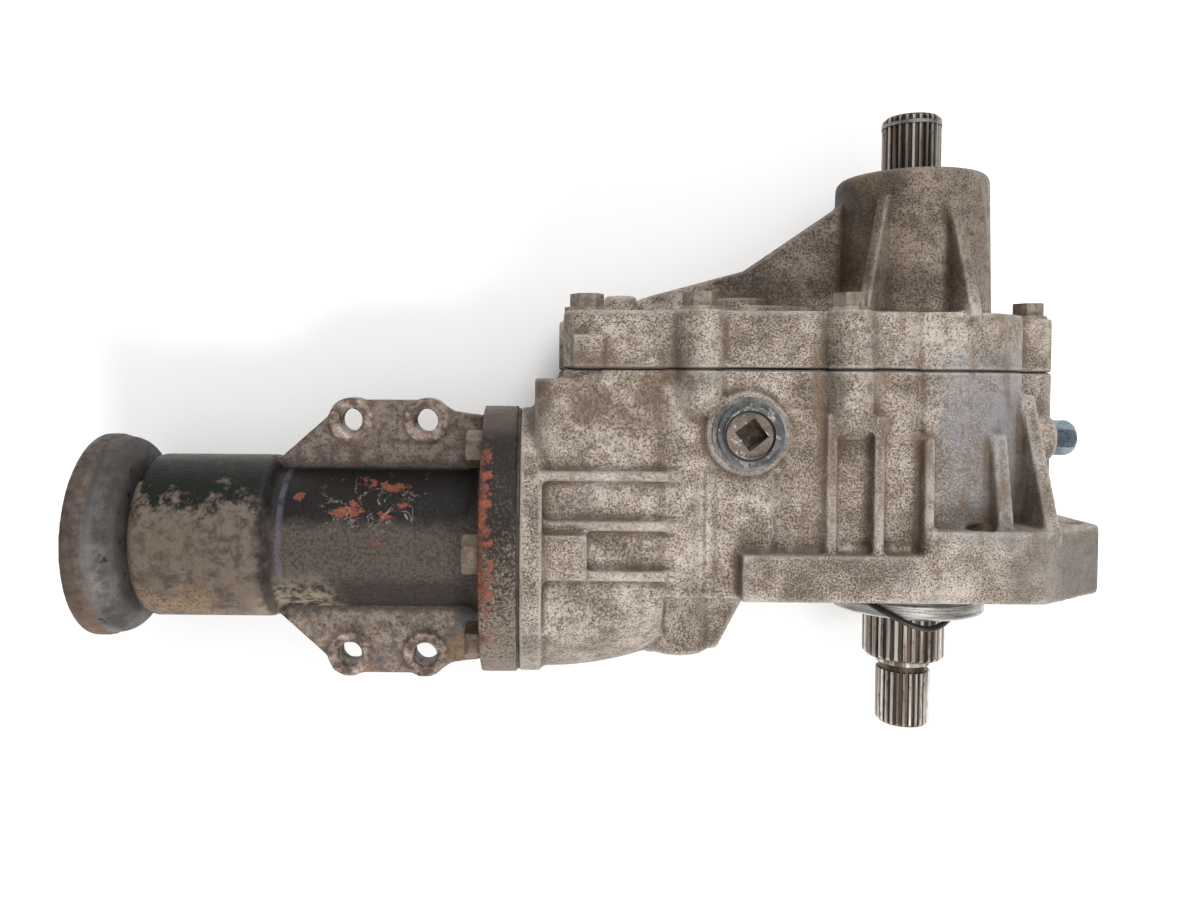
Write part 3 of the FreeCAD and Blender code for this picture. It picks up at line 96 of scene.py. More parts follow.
# Soft lights: name, place, size in metres, power in watts. All of them aim at LIT_PLACE.
LIGHTS = (
    ("key", (0.15, -0.95, 1.0), 0.7, 18.0),
    ("top", (0.1, 1.1, 0.9), 0.9, 15.0),
    ("front", (-0.1, 0.2, 1.7), 1.6, 6.0),
)
LIT_PLACE = (-0.13, 0.05, 0.0)
WORLD_STRENGTH = 0.42
FILM_WIDTH = 36.0


# Shader trees
class Finish:
    """Node tree of one finish. Every pattern reads Object coordinates, in metres."""

    def __init__(self, name):
        self.material = bpy.data.materials.new(name)
        self.material.use_nodes = True
        self.nodes = self.material.node_tree.nodes
        self.links = self.material.node_tree.links
        self.shader = self.nodes["Principled BSDF"]
        self.place = self.nodes.new("ShaderNodeTexCoord").outputs["Object"]

    def feed(self, value, socket):
        if isinstance(value, bpy.types.NodeSocket):
            self.links.new(value, socket)
        elif isinstance(value, tuple) and len(value) == 3 and socket.type == "RGBA":
            socket.default_value = (*value, 1.0)
        else:
            socket.default_value = value

    def noise(self, scale, detail=4.0, roughness=0.55, stretch=(1, 1, 1), shift=(0, 0, 0), distortion=0.0):
        mapping = self.nodes.new("ShaderNodeMapping")
        mapping.inputs["Scale"].default_value = stretch
        mapping.inputs["Location"].default_value = shift
        self.links.new(self.place, mapping.inputs["Vector"])
        texture = self.nodes.new("ShaderNodeTexNoise")
        texture.inputs["Scale"].default_value = scale
        texture.inputs["Detail"].default_value = detail
        texture.inputs["Roughness"].default_value = roughness
        texture.inputs["Distortion"].default_value = distortion
        self.links.new(mapping.outputs["Vector"], texture.inputs["Vector"])
        return texture.outputs["Fac"]

    def spread(self, value, low, high, start=0.0, end=1.0):
        """Value between low and high stretched smoothly to start and end."""
        node = self.nodes.new("ShaderNodeMapRange")
        node.interpolation_type = "SMOOTHSTEP"
        self.feed(value, node.inputs["Value"])
        for socket, number in (("From Min", low), ("From Max", high), ("To Min", start), ("To Max", end)):
            self.feed(number, node.inputs[socket])
        return node.outputs["Result"]

    def math(self, operation, first, second=0.0, third=0.0):
        node = self.nodes.new("ShaderNodeMath")
        node.operation = operation
        for socket, value in zip(node.inputs, (first, second, third)):
            self.feed(value, socket)
        return node.outputs["Value"]

    def times(self, first, second):
        return self.math("MULTIPLY", first, second)

    def plus(self, first, second):
        return self.math("ADD", first, second)

    def minus(self, first, second):
        return self.math("SUBTRACT", first, second)

    def absolute(self, value):
        return self.math("ABSOLUTE", value)

    def swayed(self, value, pattern, reach):
        """Value moved by a pattern that is weighed by its reach."""
        return self.math("MULTIPLY_ADD", pattern, reach, value)

    def blend(self, share, first, second, mode="MIX"):
        node = self.nodes.new("ShaderNodeMix")
        node.data_type = "RGBA"
        node.blend_type = mode
        self.feed(share, node.inputs["Factor"])
        self.feed(first, node.inputs["A"])
        self.feed(second, node.inputs["B"])
        return next(s for s in node.outputs if s.type == "RGBA")

    def axis(self, index):
        node = self.nodes.new("ShaderNodeSeparateXYZ")
        self.links.new(self.place, node.inputs["Vector"])
        return node.outputs[index]

    def band(self, coordinate, low, high, soft):
        """One between low and high, falling to nothing over soft."""
        rise = self.spread(coordinate, low - soft, low)
        fall = self.spread(coordinate, high, high + soft, 1.0, 0.0)
        return self.times(rise, fall)

    def length(self, u, v):
        return self.math("SQRT", self.math("MULTIPLY_ADD", u, u, self.times(v, v)))

    def radius(self, first, second):
        return self.length(self.axis(first), self.axis(second))

    def facing(self, index):
        """How far the surface faces along one axis, from -1 to 1."""
        geometry = self.nodes.new("ShaderNodeNewGeometry")
        split = self.nodes.new("ShaderNodeSeparateXYZ")
        self.links.new(geometry.outputs["Normal"], split.inputs["Vector"])
        return split.outputs[index]

    def hollow(self):
        """Curvature of a dense mesh: above a half on edges, below in corners."""
        return self.nodes.new("ShaderNodeNewGeometry").outputs["Pointiness"]

    def bump(self, height, distance, strength=1.0, under=None):
        node = self.nodes.new("ShaderNodeBump")
        node.inputs["Distance"].default_value = distance
        node.inputs["Strength"].default_value = strength
        self.links.new(height, node.inputs["Height"])
        if under is not None:
            self.links.new(under, node.inputs["Normal"])
        return node.outputs["Normal"]

    def done(self, colour, roughness, metallic=0.0, normal=None, specular=None):
        self.feed(colour, self.shader.inputs["Base Color"])
        self.feed(roughness, self.shader.inputs["Roughness"])
        self.feed(metallic, self.shader.inputs["Metallic"])
        if specular is not None:
            self.shader.inputs["Specular IOR Level"].default_value = specular
        if normal is not None:
            self.links.new(normal, self.shader.inputs["Normal"])
        return self.material


def shade(red, green, blue):
    """Linear colour that shows as an sRGB one, from 0 to 255, under the studio's light."""
    def linear(value):
        value /= 255.0
        return STUDIO_SHARE * (value / 12.92 if value <= 0.04045 else ((value + 0.055) / 1.055) ** 2.4)
    return (linear(red), linear(green), linear(blue))


class CastAluminium(Finish):
    """Sand-cast aluminium: pale beige skin with dark grains and painted glints, brown clouds of oil, dirt and
    painted shade in the corners.
    """

    def __init__(self):
        super().__init__("cast_aluminium")
        self.settings = bpy.context.scene.transfer_case_castings
        self.x, self.y = self.axis(0), self.axis(1)
        self.cloud = self.noise(15.0, 5.0, 0.6, shift=(0.3, 0.1, 0.0))
        self.blotch = self.noise(48.0, 6.0, 0.62, shift=(0.0, 0.7, 0.2))
        self.mottle = self.noise(190.0, 6.0, 0.75)
        pepper = self.noise(1250.0, 4.0, 0.85, shift=(2.0, 0.0, 1.0))
        density = self.swayed(self.swayed(pepper, self.cloud, 0.12), self.blotch, 0.22)
        self.grime = self.spread(density, 0.655, 0.73)

    def skin(self):
        """Clean metal under clouds, dry and damp patches, dark grains, and painted glints that stand in for
        sparkle of light.
        """
        tone = self.blend(self.spread(self.cloud, 0.38, 0.64), tuple(self.settings.clean_colour),
                          shade(184, 168, 152))
        tone = self.blend(self.spread(self.blotch, 0.45, 0.66, 0.0, 0.5), tone, shade(146, 129, 113))
        tone = self.blend(self.spread(self.mottle, 0.50, 0.64, 0.0, 0.6), tone, shade(132, 116, 101))
        dry = self.times(self.spread(self.blotch, 0.36, 0.52, 0.75, 0.0),
                         self.spread(self.mottle, 0.42, 0.58, 1.0, 0.0))
        tone = self.blend(dry, tone, shade(214, 203, 192))
        damp = self.spread(self.noise(34.0, 4.0, 0.55, shift=(5.0, 1.0, 3.0)), 0.56, 0.64, 0.0, 0.4)
        tone = self.blend(damp, tone, shade(118, 114, 111))
        tone = self.blend(self.times(self.grime, 0.95), tone, tuple(self.settings.stain_colour))
        # Painted highlight: sparse bright specks stand in for glints of light on the grains.
        painted_glint = self.spread(self.noise(1000.0, 4.0, 0.85, shift=(7.0, 3.0, 0.0)), 0.62, 0.70, 0.0, 0.7)
        return self.blend(painted_glint, tone, shade(226, 217, 208))

    def washed(self, tone):
        """Cool metal between the right-hand ribs, and a greyer mounting flange."""
        cool = self.times(self.band(self.x, 4 * MM, 30 * MM, 16 * MM),
                          self.band(self.y, 34 * MM, 90 * MM, 16 * MM))
        cool = self.times(cool, self.spread(self.blotch, 0.35, 0.6, 0.8, 0.35))
        tone = self.blend(cool, tone, shade(146, 147, 153))
        grey = self.times(self.spread(self.y, 24 * MM, 30 * MM, 1.0, 0.0),
                          self.spread(self.x, 0, 50 * MM, 0.0, 0.7))
        return self.blend(grey, tone, shade(124, 116, 108))

    def cornered(self, tone):
        """Brown halos, dirt with painted shade in the corners, and bare metal on the edges."""
        halo = self.times(self.spread(self.hollow(), 0.475, 0.501, 1.0, 0.0),
                          self.spread(self.blotch, 0.36, 0.56, 0.15, 0.65))
        tone = self.blend(halo, tone, shade(122, 97, 74))
        # Corners get dirt mixed with painted shade: a brown dirt and a grey that stands in for shade in the
        # hollows.
        dirt_and_shade = self.blend(self.spread(self.cloud, 0.45, 0.55), shade(66, 53, 41), shade(80, 79, 77))
        corner = self.spread(self.hollow(), 0.44, 0.498, 1.0, 0.0)
        tone = self.blend(self.times(corner, self.settings.corner_dirt_and_shade), tone, dirt_and_shade)
        edge = self.times(self.spread(self.hollow(), 0.508, 0.55),
                          self.spread(self.mottle, 0.35, 0.6, 0.2, 0.75))
        return self.blend(edge, tone, shade(214, 205, 196))

    def stained(self, tone):
        """Scuffs on the front, a dark joint, oil below it, brown runs, and a painted shade line along an
        edge.
        """
        worn = self.spread(self.noise(75.0, 6.0, 0.7, shift=(9.0, 2.0, 1.0)), 0.60, 0.66, 0.0, 0.45)
        scuff = self.times(self.spread(self.facing(2), 0.5, 0.9), worn)
        tone = self.blend(scuff, tone, shade(104, 88, 74))
        joint = self.band(self.y, JOINT_Y - 0.6 * MM, JOINT_Y + 0.6 * MM, 0.5 * MM)
        tone = self.blend(self.times(joint, 0.7), tone, shade(52, 44, 37))
        seep = self.times(self.band(self.y, JOINT_Y - 16 * MM, JOINT_Y, 12 * MM),
                          self.spread(self.x, BLOCK_EDGE_X - 14 * MM, BLOCK_EDGE_X + 2 * MM, 1.0, 0.0))
        seep = self.times(seep, self.spread(self.blotch, 0.38, 0.58, 0.1, 0.75))
        tone = self.blend(seep, tone, shade(112, 92, 74))
        runs = self.noise(95.0, 4.0, 0.6, stretch=(1, 0.22, 1), shift=(3.0, 0.0, 4.0))
        wash = self.times(self.band(self.x, -66 * MM, 60 * MM, 4 * MM),
                          self.band(self.y, 24 * MM, 130 * MM, 12 * MM))
        wash = self.times(wash, self.spread(runs, 0.52, 0.66, 0.0, 0.6))
        tone = self.blend(wash, tone, shade(128, 104, 82))
        # Painted shade: a dark line along the block's edge stands in for the shading of that edge.
        painted_edge_shade = self.times(self.band(self.x, BLOCK_EDGE_X - 0.6 * MM, BLOCK_EDGE_X, 0.9 * MM),
                          self.band(self.y, 4 * MM, 49 * MM, 3 * MM))
        painted_edge_shade = self.times(painted_edge_shade, self.spread(self.mottle, 0.35, 0.6, 0.25, 0.6))
        return self.blend(painted_edge_shade, tone, shade(88, 75, 62))

    def darker_tower_and_painted_shade(self, tone):
        """Darker on the tower and its web, with painted shade on their left side."""
        film = self.spread(self.swayed(self.y, self.cloud, 50 * MM), 140 * MM, 155 * MM)
        tone = self.blend(film, tone, (0.53, 0.49, 0.46), "MULTIPLY")
        # Painted shade: the left-facing side of the tower is darkened as if turned away from the light.
        painted_left_shade = self.times(self.spread(self.facing(0), -0.9, -0.1, 1.0, 0.0), film)
        return self.blend(painted_left_shade, tone, (0.58, 0.50, 0.42), "MULTIPLY")

    def finished(self):
        tone = self.darker_tower_and_painted_shade(self.stained(self.cornered(self.washed(self.skin()))))
        normal = self.bump(self.noise(1300.0, 3.0, 0.6), 0.6 * MM, 0.45)
        normal = self.bump(self.mottle, 1.2 * MM, 0.5, normal)
        normal = self.bump(self.minus(1.0, self.grime), 0.35 * MM, 0.5, normal)
        return self.done(tone, self.spread(self.mottle, 0.3, 0.75, 0.42, 0.72), 0.25, normal, 0.4)


def machined_aluminium():
    """Turned aluminium with fine rings, a brown film of oil and bruises."""
    f = Finish("machined_aluminium")
    rings = f.noise(60.0, 3.0, 0.6, stretch=(1, 40, 1))
    film = f.noise(70.0, 5.0, 0.6)
    bruise = f.noise(520.0, 4.0, 0.7)
    tone = f.blend(f.spread(rings, 0.4, 0.6), shade(238, 236, 230), shade(164, 160, 152))
    tone = f.blend(f.spread(film, 0.45, 0.72, 0.0, 0.6), tone, shade(122, 104, 80))
    tone = f.blend(f.spread(bruise, 0.58, 0.68, 0.0, 0.7), tone, shade(92, 82, 70))
    return f.done(tone, f.spread(film, 0.3, 0.7, 0.25, 0.45), 0.85, f.bump(rings, 0.1 * MM, 0.3))


class PaintedIron(Finish):
    """Black paint over cast iron: glossy on top, scraped and rusted in patches, oily on the nose."""

    def __init__(self):
        super().__init__("painted_iron")
        self.settings = bpy.context.scene.transfer_case_retainer
        self.paint = tuple(self.settings.paint_colour)
        self.x, self.y = self.axis(0), self.axis(1)
        self.up = self.facing(1)
        self.cloud = self.noise(24.0, 5.0, 0.6)
        self.patch = self.noise(70.0, 6.0, 0.65, shift=(0.4, 0.0, 0.9))
        self.flake = self.noise(190.0, 6.0, 0.7, shift=(0.0, 1.4, 0.0))
        self.pepper = self.noise(760.0, 5.0, 0.8)
        self.leather = self.noise(720.0, 4.0, 0.65)
        self.away = self.absolute(self.minus(self.y, PINION_Y))
        self.wet = self.spread(self.swayed(self.up, self.patch, 0.6), 0.46, 0.74)

    def barrel(self):
        """Brown-grey where dusty, black and wet-looking on top, with painted shade below, and with chips and
        scratches.
        """
        tone = self.blend(self.spread(self.leather, 0.38, 0.66), shade(96, 86, 79), shade(66, 57, 52))
        tone = self.blend(self.times(self.wet, 0.97), tone, self.paint)
        # Painted shade: the downward-facing side of the barrel is darkened with the paint colour.
        painted_underside_shade = self.spread(self.swayed(self.up, self.flake, 0.4), -0.42, -0.16, 0.55, 0.0)
        tone = self.blend(painted_underside_shade, tone, self.paint)
        rust = self.blend(self.spread(self.pepper, 0.42, 0.62), tuple(self.settings.rust_colour),
                          shade(112, 62, 48))
        frayed = self.times(self.minus(self.flake, 0.5), 16 * MM)
        for x, y, half_height, shape in CHIPS:
            across = self.times(self.minus(self.x, x * MM), 1 / shape)
            off = self.length(across, self.minus(self.y, y * MM))
            chip = self.spread(self.plus(off, frayed), (half_height - CHIP_EDGE) * MM,
                               (half_height + CHIP_EDGE) * MM, 0.95, 0.0)
            tone = self.blend(chip, tone, rust)
        scraped = self.times(self.band(self.x, -252 * MM, -216 * MM, 8 * MM),
                             self.band(self.y, 24 * MM, 43 * MM, 4 * MM))
        vein = self.minus(self.noise(60.0, 4.0, 0.65, shift=(1.7, 0.4, 2.0), distortion=0.8), 0.5)
        scratches = self.times(scraped, self.spread(self.absolute(vein), 0.004, 0.014, 0.85, 0.0))
        scratches = self.times(scratches, self.spread(self.flake, 0.44, 0.54))
        return self.blend(scratches, tone, shade(140, 130, 122))

    def soiled(self, light, dark):
        tone = self.blend(self.spread(self.flake, 0.38, 0.62), light, dark)
        return self.blend(self.spread(self.pepper, 0.5, 0.64, 0.0, 0.75), tone, shade(44, 37, 32))

    def ears(self):
        """Ear plates, paler and patched with blue and ochre below, with bare rims round their holes."""
        lower = self.spread(self.y, PINION_Y - 20 * MM, PINION_Y + 20 * MM, 1.0, 0.0)
        tone = self.blend(lower, self.soiled(shade(142, 126, 116), shade(98, 86, 78)),
                          self.soiled(shade(164, 147, 134), shade(114, 101, 91)))
        worn_blue = self.times(lower, self.spread(self.patch, 0.50, 0.60, 0.0, 0.7))
        tone = self.blend(worn_blue, tone, shade(88, 92, 97))
        ochre = self.times(lower, self.spread(self.cloud, 0.54, 0.62, 0.0, 0.5))
        tone = self.blend(ochre, tone, shade(140, 108, 72))
        hole_u = self.minus(self.absolute(self.minus(self.x, EAR_MIDDLE_X)), EAR_HALF_X)
        hole_v = self.minus(self.away, EAR_HALF_Y)
        rim = self.spread(self.length(hole_u, hole_v), 9.0 * MM, 10.4 * MM, 1.0, 0.0)
        bare = self.blend(self.spread(self.flake, 0.44, 0.58), shade(156, 136, 125), shade(98, 83, 75))
        bare = self.blend(self.spread(self.flake, 0.36, 0.44, 0.75, 0.0), bare, shade(204, 194, 186))
        return self.blend(rim, tone, bare)

    def nose(self):
        """Dusty, with an oily top and sand caked low down."""
        tone = self.blend(self.spread(self.flake, 0.42, 0.62), shade(120, 106, 96), shade(84, 74, 67))
        tone = self.blend(self.spread(self.cloud, 0.50, 0.62, 0.0, 0.3), tone, shade(110, 95, 78))
        tone = self.blend(self.spread(self.pepper, 0.56, 0.68, 0.0, 0.6), tone, shade(56, 49, 44))
        sand = self.times(self.spread(self.up, -0.75, -0.35, 0.85, 0.0), self.spread(self.patch, 0.40, 0.52))
        caked = self.blend(self.spread(self.pepper, 0.48, 0.6), shade(160, 134, 106), shade(74, 60, 46))
        tone = self.blend(sand, tone, caked)
        oil = self.spread(self.swayed(self.swayed(self.up, self.patch, 1.0), self.flake, 1.3), 1.48, 1.80)
        brown_top = self.spread(self.swayed(self.up, self.flake, 0.25), 1.05, 1.12)
        return self.blend(oil, tone, self.blend(brown_top, shade(20, 25, 18), shade(66, 55, 44)))

    def stepped(self, tone):
        """Painted shade in the crease at the step between nose and barrel, a painted highlight line beside
        it, and dust under it.
        """
        # Painted shade: a black band in the crease of the step.
        painted_crease_shade = self.times(self.band(self.x, BARREL_END_X, BARREL_END_X + 4 * MM, 3 * MM),
                            self.spread(self.flake, 0.38, 0.55, 0.25, 0.8))
        tone = self.blend(painted_crease_shade, tone, shade(44, 41, 43))
        # Painted highlight: a pale blue-grey line beside the step.
        painted_step_highlight = self.times(self.band(self.x, BARREL_END_X + 6.8 * MM, BARREL_END_X + 8 * MM, 1.3 * MM),
                          self.band(self.y, -4 * MM, 42 * MM, 10 * MM))
        painted_step_highlight = self.times(painted_step_highlight, self.spread(self.patch, 0.40, 0.56, 0.1, 0.65))
        tone = self.blend(painted_step_highlight, tone, shade(100, 99, 111))
        drift = self.times(self.band(self.x, BARREL_END_X, BARREL_END_X + 22 * MM, 14 * MM),
                           self.spread(self.up, -0.85, -0.25, 1.0, 0.0))
        return self.blend(self.times(drift, self.spread(self.flake, 0.4, 0.58)), tone, shade(158, 142, 122))

    def flange(self):
        """Black with grey grains that thicken downwards, and a rusted rear edge."""
        fall = self.spread(self.y, -42 * MM, 40 * MM, 0.14, 0.0)
        tone = self.blend(self.spread(self.plus(self.pepper, fall), 0.48, 0.68), shade(58, 51, 46),
                          shade(146, 131, 117))
        black = self.spread(self.swayed(self.y, self.patch, 80 * MM), 50 * MM, 86 * MM, 0.0, 0.85)
        tone = self.blend(black, tone, shade(33, 29, 28))
        brown_rim = self.spread(self.y, 62 * MM, 68 * MM, 0.0, 0.7)
        tone = self.blend(brown_rim, tone, shade(92, 76, 66))
        reach = self.swayed(self.x, self.minus(self.flake, 0.5), 26 * MM)
        burnt = self.spread(reach, BARREL_START_X + 2.6 * MM, BARREL_START_X + 4.6 * MM, 1.0, 0.0)
        height = self.absolute(self.minus(self.y, RUST_MIDDLE_Y))
        rusted = self.spread(self.swayed(height, self.patch, 150 * MM), 95 * MM, 122 * MM, 1.0, 0.0)
        scale = self.blend(self.spread(self.flake, 0.40, 0.56), shade(150, 84, 62), shade(92, 62, 52))
        scale = self.blend(self.spread(self.pepper, 0.56, 0.66), scale, shade(56, 42, 37))
        return self.blend(self.times(burnt, rusted), tone, scale)

    def finished(self):
        tone = self.blend(self.spread(self.away, 31 * MM, 35 * MM), self.barrel(), self.ears())
        beyond_step = self.spread(self.x, BARREL_END_X - 1 * MM, BARREL_END_X + 2 * MM, 1.0, 0.0)
        tone = self.stepped(self.blend(beyond_step, tone, self.nose()))
        on_flange = self.spread(self.x, BARREL_START_X - 2.5 * MM, BARREL_START_X - 1 * MM)
        tone = self.blend(on_flange, tone, self.flange())
        # Painted shade: corners are darkened towards black.
        tone = self.blend(self.spread(self.hollow(), 0.39, 0.49, 0.65, 0.0), tone, shade(28, 24, 21))
        edge = self.times(self.spread(self.hollow(), 0.54, 0.62),
                          self.spread(self.flake, 0.4, 0.6, 0.05, 0.6))
        tone = self.blend(edge, tone, shade(146, 126, 113))
        rough = self.minus(self.spread(self.flake, 0.3, 0.7, 0.5, 0.72), self.times(self.wet, 0.27))
        normal = self.bump(self.leather, 0.8 * MM, 0.5)
        normal = self.bump(self.flake, 1.0 * MM, 0.4, normal)
        return self.done(tone, rough, 0.0, normal, 0.14)


def rusty_iron():
    """Forged output flange: brown rim, greyer lip with light grains and a few dark pits, a painted shadow
    over the lip's upper side and painted shade in the crease.
    """
    f = Finish("rusty_iron")
    x, y = f.axis(0), f.axis(1)
    cloud = f.noise(40.0, 5.0, 0.6)
    flake = f.noise(210.0, 6.0, 0.7)
    pepper = f.noise(800.0, 5.0, 0.8)
    rim = f.blend(f.spread(flake, 0.35, 0.65), shade(100, 86, 77), shade(70, 60, 52))
    rim = f.blend(f.spread(y, PINION_Y - 40 * MM, PINION_Y - 5 * MM, 0.7, 0.0), rim, shade(122, 94, 74))
    lip = f.blend(f.spread(cloud, 0.4, 0.6), shade(92, 89, 87), shade(122, 115, 110))
    lip = f.blend(f.spread(pepper, 0.58, 0.68, 0.0, 0.6), lip, shade(164, 158, 152))
    # Painted shadow: the upper side of the lip is darkened.
    lip = f.blend(f.spread(y, PINION_Y + 12 * MM, PINION_Y + 40 * MM, 0.0, 0.75), lip, shade(50, 47, 45))
    pits = f.spread(f.noise(120.0, 4.0, 0.6, shift=(0.0, 0.3, 0.0)), 0.64, 0.67)
    lip = f.blend(f.times(pits, 0.9), lip, shade(34, 29, 27))
    tone = f.blend(f.spread(x, RIM_X - 1 * MM, RIM_X + 1.5 * MM), rim, lip)
    # Painted shade: a dark band in the crease between rim and lip.
    painted_crease_shade = f.band(x, RIM_X + 6 * MM, RIM_X + 8 * MM, 3 * MM)
    tone = f.blend(f.times(painted_crease_shade, f.spread(flake, 0.38, 0.55, 0.2, 0.6)), tone, shade(52, 47, 46))
    tone = f.blend(f.spread(flake, 0.56, 0.70, 0.0, 0.7), tone, shade(70, 55, 44))
    normal = f.bump(flake, 0.5 * MM, 0.45)
    return f.done(tone, f.spread(flake, 0.3, 0.7, 0.5, 0.75), 0.2, f.bump(pepper, 0.2 * MM, 0.4, normal), 0.4)


def worn_steel(name, bright, dull, spots, rough_low, rough_high, metallic):
    """Fastener steel with dull film and spots."""
    f = Finish(name)
    film = f.noise(120.0, 5.0, 0.65)
    spot = f.noise(600.0, 4.0, 0.7)
    tone = f.blend(f.spread(film, 0.4, 0.66), bright, dull)
    tone = f.blend(f.spread(spot, 0.54, 0.66, 0.0, 0.8), tone, spots)
    rough = f.spread(film, 0.3, 0.7, rough_low, rough_high)
    return f.done(tone, rough, metallic, f.bump(spot, 0.15 * MM, 0.4))


def plug_steel():
    """Filler plug: brown cup with pale scrapes, and a blue-grey collar beyond a dark groove."""
    f = Finish("plug_steel")
    u = f.minus(f.axis(0), PLUG_MIDDLE[0] * MM)
    v = f.minus(f.axis(1), PLUG_MIDDLE[1] * MM)
    r = f.length(u, v)
    film = f.noise(120.0, 5.0, 0.65)
    scrape = f.noise(240.0, 5.0, 0.7, shift=(0.0, 2.0, 0.0))
    spot = f.noise(700.0, 4.0, 0.7)
    cup = f.blend(f.spread(film, 0.4, 0.66), shade(140, 124, 112), shade(98, 85, 75))
    cup = f.blend(f.spread(scrape, 0.58, 0.62), cup, shade(206, 196, 186))
    collar = f.blend(f.spread(film, 0.4, 0.6), shade(116, 117, 117), shade(84, 85, 86))
    collar = f.blend(f.spread(scrape, 0.54, 0.60), collar, shade(176, 172, 165))
    tone = f.blend(f.spread(r, PLUG_CUP_R * MM, (PLUG_CUP_R + 0.6) * MM), cup, collar)
    groove = f.band(r, (PLUG_CUP_R + 0.1) * MM, (PLUG_CUP_R + 0.6) * MM, 0.3 * MM)
    tone = f.blend(groove, tone, shade(38, 33, 30))
    tone = f.blend(f.spread(spot, 0.56, 0.66, 0.0, 0.7), tone, shade(58, 49, 42))
    return f.done(tone, f.spread(film, 0.3, 0.7, 0.35, 0.55), 0.5, f.bump(spot, 0.15 * MM, 0.4))


def splined_steel():
    """Hardened shaft steel: some bright flanks, brown oil in the spline roots, darker at the tower."""
    f = Finish("ground_steel")
    r = f.radius(0, 2)
    y = f.axis(1)
    film = f.noise(90.0, 5.0, 0.6, stretch=(1, 0.4, 1))
    streak = f.noise(330.0, 2.0, 0.5, stretch=(1, 0.03, 1))
    fine = f.noise(700.0, 3.0, 0.6, stretch=(1, 0.3, 1))
    sleeve = f.spread(y, -38 * MM, -34 * MM)
    top = f.spread(y, 150 * MM, 160 * MM)
    crest_sleeve = f.spread(r, 16.1 * MM, 17.1 * MM)
    crest_low = f.spread(r, 10.4 * MM, 11.2 * MM)
    crest_top = f.spread(r, 11.3 * MM, 12.1 * MM)
    crest = f.blend(top, f.blend(sleeve, crest_low, crest_sleeve), crest_top)
    root = f.blend(f.spread(film, 0.4, 0.65), shade(116, 98, 82), shade(66, 54, 44))
    metal = f.blend(f.spread(streak, 0.44, 0.60), shade(252, 246, 238), shade(150, 134, 120))
    tone = f.blend(crest, root, metal)
    tone = f.blend(f.spread(fine, 0.55, 0.68, 0.0, 0.6), tone, shade(70, 58, 48))
    tone = f.blend(f.times(top, 0.8), tone, (0.32, 0.29, 0.27), "MULTIPLY")
    return f.done(tone, f.spread(film, 0.3, 0.7, 0.25, 0.42), 0.62, f.bump(fine, 0.05 * MM, 0.4))


def rubber():
    """Black rubber with a trace of dust."""
    f = Finish("black_rubber")
    dust = f.noise(260.0, 4.0, 0.6)
    tone = f.blend(f.spread(dust, 0.5, 0.75, 0.0, 0.5), shade(30, 28, 27), shade(74, 66, 58))
    return f.done(tone, 0.5, 0.0, f.bump(dust, 0.1 * MM, 0.3))


def bronze():
    """Sintered bronze with a fine open grain."""
    f = Finish("bronze")
    grain = f.noise(900.0, 4.0, 0.6)
    tone = f.blend(f.spread(grain, 0.4, 0.7), shade(176, 134, 78), shade(112, 80, 44))
    return f.done(tone, 0.45, 0.85, f.bump(grain, 0.08 * MM, 0.4))


# Steels of small pieces: nodes, then name, bright, dull and spot colour, both roughnesses, metal share
FASTENER_STEELS = (
    (["retainer_bolts", "pinion_nut"],
     ("rusty_steel", shade(128, 110, 94), shade(96, 78, 62), shade(58, 46, 38), 0.45, 0.7, 0.3)),
    (["cover_bolts"],
     ("dull_zinc", shade(158, 145, 130), shade(118, 105, 92), shade(74, 64, 54), 0.45, 0.7, 0.3)),
    (["filler_plug_washer", "through_snap_ring"],
     ("washer_steel", shade(158, 157, 154), shade(104, 104, 104), shade(60, 55, 51), 0.28, 0.5, 0.5)),
    (["drain_plug"],
     ("bright_zinc", shade(148, 164, 172), shade(92, 108, 116), shade(52, 58, 62), 0.2, 0.38, 0.85)),
)
INSIDE_STEELS = (
    (["countershaft", "counter_gear", "ring_gear", "input_gear", "pinion_shaft"],
     ("gear_steel", shade(170, 168, 164), shade(120, 116, 110), shade(84, 76, 64), 0.25, 0.4, 0.95)),
    (["retainer_shim"],
     ("shim_steel", shade(74, 68, 62), shade(52, 47, 43), shade(36, 32, 29), 0.5, 0.7, 0.5)),
    ([name for name in NODES if "bearing" in name] + ["cover_dowels"],
     ("bearing_steel", shade(205, 205, 204), shade(160, 158, 152), shade(120, 110, 94), 0.15, 0.3, 0.98)),
)


# Meshes
def mesh_piece(name, body, material):
    """Empty piece that rides on a body."""
    mesh = bpy.data.meshes.new(name)
    piece = bpy.data.objects.new(name, mesh)
    bpy.context.scene.collection.objects.link(piece)
    mesh.materials.append(material)
    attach(piece, body)
    return piece


def baked(piece):
    """Takes the result of a piece's modifiers as its mesh."""
    bpy.context.view_layer.update()
    graph = bpy.context.evaluated_depsgraph_get()
    mesh = bpy.data.meshes.new_from_object(piece.evaluated_get(graph))
    piece.modifiers.clear()
    piece.data = mesh
    return mesh


def ring_on_pinion(shell, profile):
    """Adds a closed ring about the pinion axis, from (x, radius) corners in millimetres."""
    corners = [shell.verts.new((x * MM, PINION_Y + radius * MM, 0.0)) for x, radius in profile]
    loop = [shell.edges.new((corners[i - 1], corners[i])) for i in range(len(corners))]
    bmesh.ops.spin(shell, geom=corners + loop, cent=(0, PINION_Y, 0), axis=(1, 0, 0), dvec=(0, 0, 0),
                   angle=2 * math.pi, steps=96, use_duplicate=False, use_merge=True)


